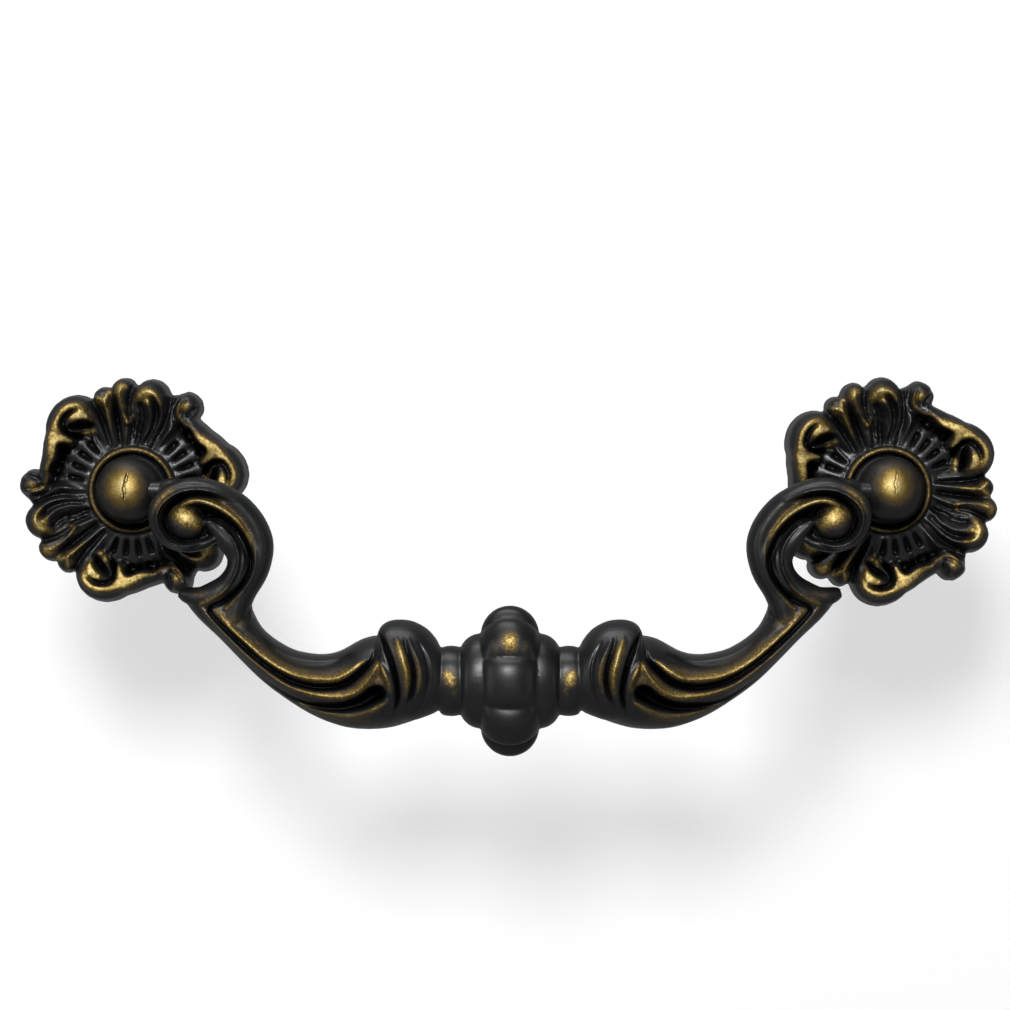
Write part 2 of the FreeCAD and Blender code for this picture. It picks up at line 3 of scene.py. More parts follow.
import bmesh
import bpy
import numpy as np
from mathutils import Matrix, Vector


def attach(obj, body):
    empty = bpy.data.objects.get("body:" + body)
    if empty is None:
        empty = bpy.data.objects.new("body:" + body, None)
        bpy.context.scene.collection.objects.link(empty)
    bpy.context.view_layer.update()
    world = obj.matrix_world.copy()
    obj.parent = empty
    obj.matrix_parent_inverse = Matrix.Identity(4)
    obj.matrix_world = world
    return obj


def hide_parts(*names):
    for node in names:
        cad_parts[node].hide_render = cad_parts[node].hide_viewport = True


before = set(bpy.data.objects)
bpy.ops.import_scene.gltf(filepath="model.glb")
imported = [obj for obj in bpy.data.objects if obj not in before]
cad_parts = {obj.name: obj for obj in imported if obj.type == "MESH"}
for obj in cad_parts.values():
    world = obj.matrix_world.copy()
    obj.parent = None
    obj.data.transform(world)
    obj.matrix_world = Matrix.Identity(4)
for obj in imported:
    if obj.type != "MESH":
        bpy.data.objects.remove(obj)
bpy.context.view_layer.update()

# Drop pull: a cast bail swings between two domed posts, each in a leaf rosette.
# All lengths below are millimetres, and MM turns them into Blender's metres.
MM = 0.001
post_x = 64.0
pivot_depth = 11.0


# Viewpoint
# The camera looks straight at the front, from well back, as the photograph was taken.
# 6 pixels of the 1010 pixel wide frame are 1 mm at the bail.
frame_width = 1010 / 6.0
bpy.ops.object.camera_add(rotation=(math.radians(90), 0, 0))
camera = bpy.context.object
camera.data.lens = 120
camera.data.sensor_width = 36
camera_distance = frame_width * camera.data.lens / camera.data.sensor_width
camera.location = Vector((-0.83, -(pivot_depth + 2) - camera_distance, -2.5)) * MM
camera.data.clip_start = 0.01
camera.data.clip_end = 5
bpy.context.scene.camera = camera


# Cast metal, carving
# The bail and the rosettes are cast from carved patterns, so they are made as a carver would:
# a rounded blank, then strokes of a chisel along lines drawn on its front.
# A stroke is a run of stations (x, z, half width, height), seen from the front.
def smooth_line(stations, step):
    """Points about a step apart on a Catmull-Rom line through the stations."""
    spots = np.array(stations, float)
    ends = np.vstack([2 * spots[0] - spots[1], spots, 2 * spots[-1] - spots[-2]])
    line = []
    for a, b, c, d in zip(ends, ends[1:], ends[2:], ends[3:]):
        count = max(1, int(np.hypot(*(c - b)[:2]) / step))
        t = np.linspace(0, 1, count, endpoint=False)[:, None]
        line.append(0.5 * (2 * b + (c - a) * t + (2 * a - 5 * b + 4 * c - d) * t**2
                           + (3 * b - a - 3 * c + d) * t**3))
    return np.vstack(line + [spots[-1:]])


def trace(board, stations):
    """How far each spot of the board lies off a stroke, as a share of its half width, and its height there."""
    xs, zs = board
    off = np.full((len(xs), len(zs)), 9.0)
    height = np.zeros_like(off)
    line = smooth_line(stations, 0.35)
    line[:, 2] = np.maximum(line[:, 2], 0.02)
    for a, b in zip(line, line[1:]):
        reach = max(a[2], b[2]) * 1.05 + 0.15
        i0, i1 = np.searchsorted(xs, (min(a[0], b[0]) - reach, max(a[0], b[0]) + reach))
        j0, j1 = np.searchsorted(zs, (min(a[1], b[1]) - reach, max(a[1], b[1]) + reach))
        if i0 == i1 or j0 == j1:
            continue
        x, z = np.meshgrid(xs[i0:i1] - a[0], zs[j0:j1] - a[1], indexing="ij")
        run, rise = b[0] - a[0], b[1] - a[1]
        along = np.clip((x * run + z * rise) / max(run * run + rise * rise, 1e-9), 0, 1)
        share = np.hypot(x - along * run, z - along * rise) / (a[2] + (b[2] - a[2]) * along)
        nearer = share < off[i0:i1, j0:j1]
        off[i0:i1, j0:j1][nearer] = share[nearer]
        height[i0:i1, j0:j1][nearer] = (a[3] + (b[3] - a[3]) * along)[nearer]
    return off, height


def rounded(off):
    return np.sqrt(np.clip(1 - off**2, 0, 1))


def eased(off):
    return 0.5 + 0.5 * np.cos(np.pi * np.clip(off, 0, 1))


def scooped(off):
    return np.clip(1 - off**2, 0, 1) ** 0.7


def crested(off):
    return np.clip(1 - off, 0, 1) ** 1.4


def softened(field, cells):
    """The field with its edges blurred over a few cells."""
    weights = np.exp(-0.5 * (np.arange(-3 * cells, 3 * cells + 1) / cells) ** 2)
    weights /= weights.sum()
    for axis in (0, 1):
        padded = np.pad(field, [(3 * cells, 3 * cells) if k == axis else (0, 0) for k in (0, 1)], mode="edge")
        length = field.shape[axis]
        field = sum(w * np.take(padded, range(k, k + length), axis=axis) for k, w in enumerate(weights))
    return field


def sunk_parts(field, cells, depth):
    """How far each spot lies below its surroundings, from 0 to 1."""
    return np.clip((softened(field, cells) - field) / depth, 0, 1)


def read_board(board, field, x, z):
    """Values of the field at spots (x, z), between its cells."""
    xs, zs = board
    u = np.clip((x - xs[0]) / (xs[1] - xs[0]), 0, len(xs) - 1.001)
    v = np.clip((z - zs[0]) / (zs[1] - zs[0]), 0, len(zs) - 1.001)
    i, j = u.astype(int), v.astype(int)
    u, v = u - i, v - j
    return ((field[i, j] * (1 - u) + field[i + 1, j] * u) * (1 - v)
            + (field[i, j + 1] * (1 - u) + field[i + 1, j + 1] * u) * v)


def loft(rings):
    """Add a closed skin through rings of equally many points to the mesh in hand."""
    skin = bmesh.new()
    corners = [[skin.verts.new(Vector(point) * MM) for point in ring] for ring in rings]
    for near, far in zip(corners, corners[1:]):
        for i in range(len(near)):
            skin.faces.new((near[i - 1], near[i], far[i], far[i - 1]))
    skin.faces.new(corners[0])
    skin.faces.new(corners[-1])
    bmesh.ops.recalc_face_normals(skin, faces=skin.faces)
    mesh = bpy.data.meshes.new("blank")
    skin.to_mesh(mesh)
    skin.free()
    piece = bpy.data.objects.new("blank", mesh)
    bpy.context.collection.objects.link(piece)
    return piece


def only(*pieces):
    """Select just these pieces, the first one active."""
    bpy.ops.object.select_all(action="DESELECT")
    for piece in pieces:
        piece.select_set(True)
    bpy.context.view_layer.objects.active = pieces[0]


def joined(pieces, name):
    only(*pieces)
    bpy.ops.object.join()
    piece = bpy.context.object
    piece.name = name
    piece.data.name = name
    return piece


def applied(piece, kind, **settings):
    """Add a modifier with these settings and apply it at once."""
    only(piece)
    modifier = piece.modifiers.new(kind.lower(), kind)
    for key, value in settings.items():
        setattr(modifier, key, value)
    bpy.ops.object.modifier_apply(modifier=modifier.name)
    return piece


def points_of(piece):
    """The piece's points in mm."""
    flat = np.empty(len(piece.data.vertices) * 3)
    piece.data.vertices.foreach_get("co", flat)
    return flat.reshape(-1, 3) / MM


def set_points(piece, points):
    piece.data.vertices.foreach_set("co", (points * MM).ravel())
    piece.data.update()


def normals_of(piece):
    flat = np.empty(len(piece.data.vertices) * 3)
    piece.data.vertex_normals.foreach_get("vector", flat)
    return flat.reshape(-1, 3)


def write_mask(piece, name, values):
    """Keep a value from 0 to 1 for each point, for the material to read."""
    attribute = piece.data.attributes.new(name, "FLOAT", "POINT")
    attribute.data.foreach_set("value", np.clip(values, 0, 1).astype(np.float32))


# Cast metal, finish
# Zinc casting plated in brass, given a blue-black stain, then rubbed so that brass shows on the
# ridges; brown lies between the two, and the lacquer over them is satin. The hollows are painted
# darker still: partly the stain lying thick there, partly painted shade.
def new_material(name):
    material = bpy.data.materials.new(name)
    material.use_nodes = True
    return material, material.node_tree.nodes, material.node_tree.links


def node(nodes, kind, **settings):
    made = nodes.new(kind)
    for key, value in settings.items():
        setattr(made, key, value)
    return made


def ramp(nodes, stops):
    made = nodes.new("ShaderNodeValToRGB")
    while len(made.color_ramp.elements) < len(stops):
        made.color_ramp.elements.new(0.5)
    for element, (position, colour) in zip(made.color_ramp.elements, stops):
        element.position = position
        element.color = (*colour, 1)
    return made


def make_patina_group():
    """Rub mask, hollow mask (stain and painted shade) and grain in; colour, roughness, metal share and height out."""
    group = bpy.data.node_groups.new("rubbed_patina", "ShaderNodeTree")
    interface = group.interface
    interface.new_socket("Rub", in_out="INPUT", socket_type="NodeSocketFloat")
    interface.new_socket("Stain and shade", in_out="INPUT", socket_type="NodeSocketFloat")
    interface.new_socket("Grain", in_out="INPUT", socket_type="NodeSocketFloat")
    for name, kind in (("Color", "NodeSocketColor"), ("Roughness", "NodeSocketFloat"),
                       ("Metallic", "NodeSocketFloat"), ("Height", "NodeSocketFloat")):
        interface.new_socket(name, in_out="OUTPUT", socket_type=kind)
    nodes, links = group.nodes, group.links
    enter, leave = nodes.new("NodeGroupInput"), nodes.new("NodeGroupOutput")
    place = nodes.new("ShaderNodeTexCoord")

    speckle = node(nodes, "ShaderNodeTexNoise")
    speckle.inputs["Scale"].default_value = 2600
    speckle.inputs["Detail"].default_value = 3
    speckle.inputs["Roughness"].default_value = 0.65
    mottle = node(nodes, "ShaderNodeTexNoise")
    mottle.inputs["Scale"].default_value = 420
    mottle.inputs["Detail"].default_value = 4
    for texture in (speckle, mottle):
        links.new(place.outputs["Object"], texture.inputs["Vector"])

    # worn edge: the mask, broken up by the speckle
    level = node(nodes, "ShaderNodeMath", operation="SUBTRACT")
    links.new(speckle.outputs["Fac"], level.inputs[0])
    level.inputs[1].default_value = 0.52
    broken = node(nodes, "ShaderNodeMath", operation="MULTIPLY")
    links.new(level.outputs[0], broken.inputs[0])
    links.new(enter.outputs["Grain"], broken.inputs[1])
    worn = node(nodes, "ShaderNodeMath", operation="ADD", use_clamp=True)
    links.new(enter.outputs["Rub"], worn.inputs[0])
    shaped = node(nodes, "ShaderNodeMath", operation="MULTIPLY")
    links.new(broken.outputs[0], shaped.inputs[0])
    reach = node(nodes, "ShaderNodeMapRange")
    reach.inputs["From Min"].default_value = 0.02
    reach.inputs["From Max"].default_value = 0.3
    links.new(enter.outputs["Rub"], reach.inputs["Value"])
    links.new(reach.outputs["Result"], shaped.inputs[1])
    links.new(shaped.outputs[0], worn.inputs[1])

    colour = ramp(nodes, (
        (0.0, (0.0056, 0.006, 0.0068)),
        (0.2, (0.0125, 0.0102, 0.007)),
        (0.4, (0.048, 0.032, 0.0115)),
        (0.6, (0.155, 0.106, 0.031)),
        (0.82, (0.30, 0.222, 0.074)),
        (1.0, (0.43, 0.35, 0.165)),
    ))
    links.new(worn.outputs[0], colour.inputs["Fac"])
    cloud = ramp(nodes, ((0.3, (0.75, 0.75, 0.78)), (0.7, (1.25, 1.22, 1.18))))
    links.new(mottle.outputs["Fac"], cloud.inputs["Fac"])
    tinted = node(nodes, "ShaderNodeMix", data_type="RGBA", blend_type="MULTIPLY")
    tinted.inputs["Factor"].default_value = 1
    links.new(colour.outputs["Color"], tinted.inputs["A"])
    links.new(cloud.outputs["Color"], tinted.inputs["B"])
    # the hollows are painted near black: partly the stain lying thick and dull there, partly painted shade
    stain_and_hollow_shade = node(nodes, "ShaderNodeMix", data_type="RGBA")
    stain_and_hollow_shade.inputs["B"].default_value = (0.0035, 0.0036, 0.004, 1)
    links.new(enter.outputs["Stain and shade"], stain_and_hollow_shade.inputs["Factor"])
    links.new(tinted.outputs["Result"], stain_and_hollow_shade.inputs["A"])
    links.new(stain_and_hollow_shade.outputs["Result"], leave.inputs["Color"])

    gloss = ramp(nodes, ((0.0, (0.29,) * 3), (0.45, (0.46,) * 3), (1.0, (0.5,) * 3)))
    links.new(worn.outputs[0], gloss.inputs["Fac"])
    smudge = node(nodes, "ShaderNodeMath", operation="MULTIPLY_ADD")
    links.new(mottle.outputs["Fac"], smudge.inputs[0])
    smudge.inputs[1].default_value = 0.16
    links.new(gloss.outputs["Color"], smudge.inputs[2])
    links.new(smudge.outputs[0], leave.inputs["Roughness"])

    metal = node(nodes, "ShaderNodeMapRange")
    metal.inputs["From Min"].default_value = 0.3
    metal.inputs["From Max"].default_value = 0.6
    links.new(worn.outputs[0], metal.inputs["Value"])
    # the hollows also lose the lacquer's sheen as near-black metal: partly blackened patina, partly painted shade
    metal_and_hollow_shade = node(nodes, "ShaderNodeMath", operation="ADD", use_clamp=True)
    links.new(metal.outputs["Result"], metal_and_hollow_shade.inputs[0])
    links.new(enter.outputs["Stain and shade"], metal_and_hollow_shade.inputs[1])
    links.new(metal_and_hollow_shade.outputs[0], leave.inputs["Metallic"])

    grain = node(nodes, "ShaderNodeMix", data_type="FLOAT")
    grain.inputs["Factor"].default_value = 0.35
    links.new(mottle.outputs["Fac"], grain.inputs["A"])
    links.new(speckle.outputs["Fac"], grain.inputs["B"])
    links.new(grain.outputs["Result"], leave.inputs["Height"])
    return group


patina_group = make_patina_group()


def make_bronze(name, grain):
    """Antique bronze whose rub comes from an attribute of the mesh; grain breaks up its edge."""
    material, nodes, links = new_material(name)
    shader = nodes["Principled BSDF"]
    rub = node(nodes, "ShaderNodeAttribute", attribute_name="rub")
    patina = node(nodes, "ShaderNodeGroup", node_tree=patina_group)
    bump = nodes.new("ShaderNodeBump")
    bump.inputs["Strength"].default_value = 0.25
    bump.inputs["Distance"].default_value = 0.0001
    patina.inputs["Grain"].default_value = grain
    # mask of the hollows, which are painted darker: partly stain, partly painted shade
    stain_and_shade = node(nodes, "ShaderNodeAttribute", attribute_name="stain_and_shade")
    links.new(rub.outputs["Fac"], patina.inputs["Rub"])
    links.new(stain_and_shade.outputs["Fac"], patina.inputs["Stain and shade"])
    shader.inputs["Specular IOR Level"].default_value = 0.36
    links.new(patina.outputs["Color"], shader.inputs["Base Color"])
    links.new(patina.outputs["Roughness"], shader.inputs["Roughness"])
    links.new(patina.outputs["Metallic"], shader.inputs["Metallic"])
    links.new(patina.outputs["Height"], bump.inputs["Height"])
    links.new(bump.outputs["Normal"], shader.inputs["Normal"])
    return material


bronze = make_bronze("cast_bronze", 1.4)
smooth_bronze = make_bronze("turned_bronze", 0.5)


# Bail
# One casting: pivot pin, scrolled volute with its ball eye, S-shaped arm, leafy horn with
# three ridges, folded cap, neck, collar and melon bead, then the same mirrored.
bail_back = 8.0
bail_finish = 0.175
eye_x, eye_z = post_x - 10.1, -4.1
bar_z, bar_depth = -31.9, 11.4


def tube(stations, sides=28):
    """An oval tube through (inset from the post, z, half width, depth, half depth) stations."""
    line = smooth_line([(post_x - s[0], s[1], *s[2:]) for s in stations], 0.5)
    along = np.gradient(line[:, :2], axis=0)
    along /= np.hypot(along[:, 0], along[:, 1])[:, None]
    rings = []
    for (x, z, wide, depth, deep), (dx, dz) in zip(line, along):
        turns = [2 * math.pi * k / sides for k in range(sides)]
        rings.append([(x - dz * wide * math.cos(t), -depth - deep * math.sin(t), z + dx * wide * math.cos(t))
                      for t in turns])
    return loft(rings)


def bar(stations, sides=48):
    """A turned run of the middle through (x, top, bottom, front) stations."""
    rings = []
    for x, top, bottom, front in smooth_line(stations, 0.25):
        middle, tall = (top + bottom) / 2, (top - bottom) / 2
        rings.append([(x, -bar_depth - front * math.sin(2 * math.pi * k / sides),
                       middle + tall * math.cos(2 * math.pi * k / sides)) for k in range(sides)])
    return loft(rings)


outer_arm = tube([
    (17.2, -23.6, 2.0, pivot_depth - 0.4, 2.6),
    (17.9, -21.0, 2.2, pivot_depth - 0.3, 3.0),
    (19.4, -17.2, 2.1, pivot_depth - 0.2, 3.0),
    (21.5, -13.6, 2.1, pivot_depth, 3.0),
    (22.4, -9.9, 2.1, pivot_depth + 0.1, 3.0),
    (21.9, -7.1, 2.1, pivot_depth + 0.3, 3.0),
    (20.3, -4.4, 2.1, pivot_depth + 0.5, 3.0),
    (18.0, -2.1, 2.0, pivot_depth + 0.9, 2.9),
    (14.4, -0.1, 1.8, pivot_depth + 1.2, 2.8),
    (10.8, 0.6, 1.55, pivot_depth + 1.6, 2.6),
    (7.5, -0.5, 1.4, pivot_depth + 2.3, 2.2),
    (5.45, -2.6, 1.4, pivot_depth + 2.9, 1.9),
    (5.2, -5.2, 1.35, pivot_depth + 2.9, 1.9),
    (6.5, -7.8, 1.3, pivot_depth + 2.5, 1.9),
    (9.1, -9.2, 1.15, pivot_depth + 2.0, 2.0),
    (11.7, -9.3, 1.0, pivot_depth + 1.7, 1.9),
    (13.8, -8.7, 0.8, pivot_depth + 1.4, 1.7),
    (15.5, -7.7, 0.4, pivot_depth + 1.0, 1.2),
])
inner_arm = tube([
    (13.0, -5.2, 0.45, pivot_depth + 1.4, 1.5),
    (14.0, -5.7, 1.0, pivot_depth + 1.2, 1.9),
    (15.4, -7.0, 1.5, pivot_depth + 0.8, 2.2),
    (16.9, -8.7, 1.75, pivot_depth + 0.4, 2.5),
    (18.2, -10.4, 1.85, pivot_depth, 2.6),
    (18.7, -12.0, 2.0, pivot_depth - 0.2, 2.7),
    (18.2, -14.0, 2.0, pivot_depth - 0.3, 2.7),
    (16.7, -15.9, 2.0, pivot_depth - 0.4, 2.7),
    (14.6, -17.3, 2.1, pivot_depth - 0.5, 2.7),
    (12.4, -18.0, 1.9, pivot_depth - 0.7, 2.5),
    (10.6, -17.75, 1.55, pivot_depth - 0.9, 2.2),
    (9.3, -17.35, 1.2, pivot_depth - 1.0, 1.9),
    (8.6, -17.1, 0.8, pivot_depth - 1.1, 1.5),
])
# thin lip round the inside of the volute's rim
rim_lip = tube([
    (17.8, -1.6, 0.25, pivot_depth + 3.1, 0.5),
    (15.8, -0.75, 0.34, pivot_depth + 3.6, 0.7),
    (14.2, -0.15, 0.36, pivot_depth + 3.9, 0.7),
    (11.8, 0.1, 0.36, pivot_depth + 4.1, 0.7),
    (9.1, -0.35, 0.36, pivot_depth + 4.3, 0.7),
    (7.0, -1.6, 0.36, pivot_depth + 4.6, 0.7),
    (5.7, -3.3, 0.36, pivot_depth + 4.7, 0.7),
    (5.4, -5.2, 0.36, pivot_depth + 4.7, 0.7),
    (6.1, -7.2, 0.36, pivot_depth + 4.4, 0.7),
    (7.6, -8.8, 0.36, pivot_depth + 3.9, 0.7),
    (9.7, -9.4, 0.34, pivot_depth + 3.6, 0.7),
    (11.4, -9.2, 0.3, pivot_depth + 3.3, 0.6),
    (12.6, -8.7, 0.2, pivot_depth + 2.7, 0.4),
], sides=12)
# fillet where the outer arm runs into the horn
fillet = tube([
    (19.6, -17.0, 0.4, pivot_depth - 0.9, 1.8),
    (20.0, -19.4, 0.8, pivot_depth - 0.9, 1.9),
    (20.6, -21.6, 0.4, pivot_depth - 1.0, 1.6),
])
# metal left between the spiral and the inner arm
web = tube([
    (12.4, -4.0, 0.8, pivot_depth - 0.6, 2.1),
    (14.6, -4.1, 1.0, pivot_depth - 0.6, 2.1),
    (16.6, -5.4, 1.2, pivot_depth - 0.6, 2.1),
    (18.4, -7.6, 1.3, pivot_depth - 0.6, 2.1),
    (19.5, -9.8, 1.3, pivot_depth - 0.7, 2.1),
    (19.9, -12.1, 1.2, pivot_depth - 0.8, 2.1),
    (19.3, -14.5, 1.1, pivot_depth - 0.9, 2.1),
    (17.8, -16.6, 1.0, pivot_depth - 1.0, 2.0),
])
spiral = tube([
    (9.4, -3.0, 0.9, pivot_depth + 2.6, 1.6),
    (10.6, -2.1, 1.0, pivot_depth + 2.5, 1.7),
    (12.4, -1.8, 1.1, pivot_depth + 2.3, 1.8),
    (14.6, -2.3, 1.2, pivot_depth + 2.0, 1.9),
    (17.1, -3.8, 1.2, pivot_depth + 1.7, 1.9),
    (19.1, -6.2, 1.0, pivot_depth + 1.5, 1.9),
    (20.4, -9.0, 0.8, pivot_depth + 1.2, 1.8),
    (20.9, -12.0, 0.6, pivot_depth + 0.7, 1.6),
    (20.2, -15.0, 0.4, pivot_depth + 0.3, 1.4),
])


def horn_ring(upper, lower, rise, sides=40):
    """Flat back and bulging front between an upper and a lower edge."""
    ring = []
    for k in range(sides + 1):
        t = k / sides
        level = (1 - abs(2 * t - 1) ** 2.3) ** 0.46
        ring.append((upper[0] + (lower[0] - upper[0]) * t, -bail_back - rise * level,
                     upper[1] + (lower[1] - upper[1]) * t))
    return ring


horn_stations = [
    ((43.8, -15.6), (55.7, -16.6), 3.4),
    ((43.8, -17.4), (55.0, -18.2), 4.6),
    ((43.5, -19.3), (52.5, -21.4), 5.1),
    ((42.0, -22.5), (48.6, -25.1), 5.4),
    ((40.3, -24.3), (45.3, -28.5), 5.6),
    ((38.2, -25.75), (41.7, -32.0), 5.8),
    ((35.7, -26.9), (37.9, -34.9), 6.1),
    ((31.9, -27.5), (33.2, -37.8), 6.6),
    ((28.7, -27.0), (28.6, -39.6), 7.0),
    ((24.4, -24.8), (24.6, -40.2), 7.7),
    ((20.5, -24.2), (20.6, -40.0), 8.5),
    ((17.5, -24.6), (17.5, -39.2), 8.8),
    ((15.0, -25.6), (15.0, -38.3), 7.6),
]
horn_line = smooth_line([(*upper, *lower, rise) for upper, lower, rise in horn_stations], 0.5)
horn = loft([horn_ring((s[0], s[1]), (s[2], s[3]), s[4]) for s in horn_line])

cap = bar([
    (22.3, -24.8, -29.5, 2.4), (22.0, -23.6, -31.5, 4.0), (21.4, -22.6, -34.0, 5.2), (20.3, -21.9, -36.6, 5.7),
    (18.6, -21.6, -38.4, 6.0), (16.2, -21.9, -38.5, 6.0), (13.9, -23.1, -37.8, 5.6), (12.5, -24.6, -37.2, 5.0),
    (11.7, -26.0, -36.6, 4.4), (11.2, -27.4, -35.8, 3.6),
])
neck = bar([
    (11.9, -27.2, -36.6, 3.6), (11.6, -26.5, -37.3, 4.2), (11.0, -26.15, -37.65, 4.5), (9.8, -26.0, -37.8, 4.6),
    (8.6, -26.15, -37.65, 4.5), (8.0, -26.5, -37.3, 4.2), (7.6, -27.2, -36.6, 3.6),
])
collar = bar([
    (8.35, -27.2, -36.6, 3.8), (8.1, -26.0, -37.8, 4.5), (7.5, -25.1, -38.7, 5.2), (6.6, -24.4, -39.4, 5.6),
    (5.5, -24.0, -39.8, 5.8), (4.4, -24.0, -39.8, 5.8), (3.4, -24.8, -39.0, 5.2),
])


def melon(core, reach, half_width, shallow, lobes):
    """A lobed wheel round the X axis: a core, and round lobes that reach out from it."""
    rings = []
    for t in np.linspace(-0.48 * math.pi, 0.48 * math.pi, 33):
        ring = []
        for k in range(160):
            turn = 2 * math.pi * k / 160
            groove = 1 - 0.12 * math.cos(t) * (1 - abs(math.cos(turn * lobes / 2))) ** 1.8
            radius = (core + reach * math.cos(t)) * groove
            ring.append((half_width * math.sin(t), -bar_depth - radius * shallow * math.sin(turn),
                         bar_z + radius * math.cos(turn)))
        rings.append(ring)
    return loft(rings)


bead = [melon(7.6, 5.0, 4.9, 0.6, 8)]

volute_floor = loft([
    [(eye_x - 0.5 + r * math.cos(2 * math.pi * k / 48), -depth, eye_z + r * math.sin(2 * math.pi * k / 48))
     for k in range(48)]
    for r, depth in ((4.8, pivot_depth - 1.2), (5.5, pivot_depth - 0.6), (5.2, pivot_depth + 1.5))
])
ball_x, ball_z, ball_radius = post_x - 9.8, -5.3, 3.3
eye = loft([
    [(ball_x + r * math.cos(2 * math.pi * k / 32), -depth, ball_z + r * math.sin(2 * math.pi * k / 32)) for k in range(32)]
    for r, depth in [(ball_radius, 11.0)] + [(ball_radius * math.cos(a), 12.9 + 2.7 * math.sin(a))
                                             for a in np.linspace(0, 1.5, 12)]
])
pin = loft([
    [(x, -pivot_depth + r * math.cos(2 * math.pi * k / 32), r * math.sin(2 * math.pi * k / 32)) for k in range(32)]
    for x, r in ((eye_x, 0.5), (eye_x + 0.5, 1.4), (eye_x + 1.5, 2.0), (56.9, 2.0), (57.9, 1.75), (58.5, 1.5), (61.0, 1.5), (61.2, 1.3))
])

# the right half is doubled and turned into one skin; what stands behind the back is pressed flat
half = joined([outer_arm, inner_arm, fillet, web, spiral, rim_lip, horn, cap, neck, collar, volute_floor, eye, pin], "bail_half")
other = half.copy()
other.data = half.data.copy()
bpy.context.collection.objects.link(other)
mirrored = points_of(other) * (-1, 1, 1)
set_points(other, mirrored)
other.data.flip_normals()
bail = joined([half, other] + bead, "bail_casting")
applied(bail, "REMESH", mode="VOXEL", voxel_size=bail_finish * MM, adaptivity=0)
bail_points = points_of(bail)
bail_points[:, 1] = np.minimum(bail_points[:, 1], -bail_back)
set_points(bail, bail_points)
applied(bail, "SMOOTH", factor=0.5, iterations=4)

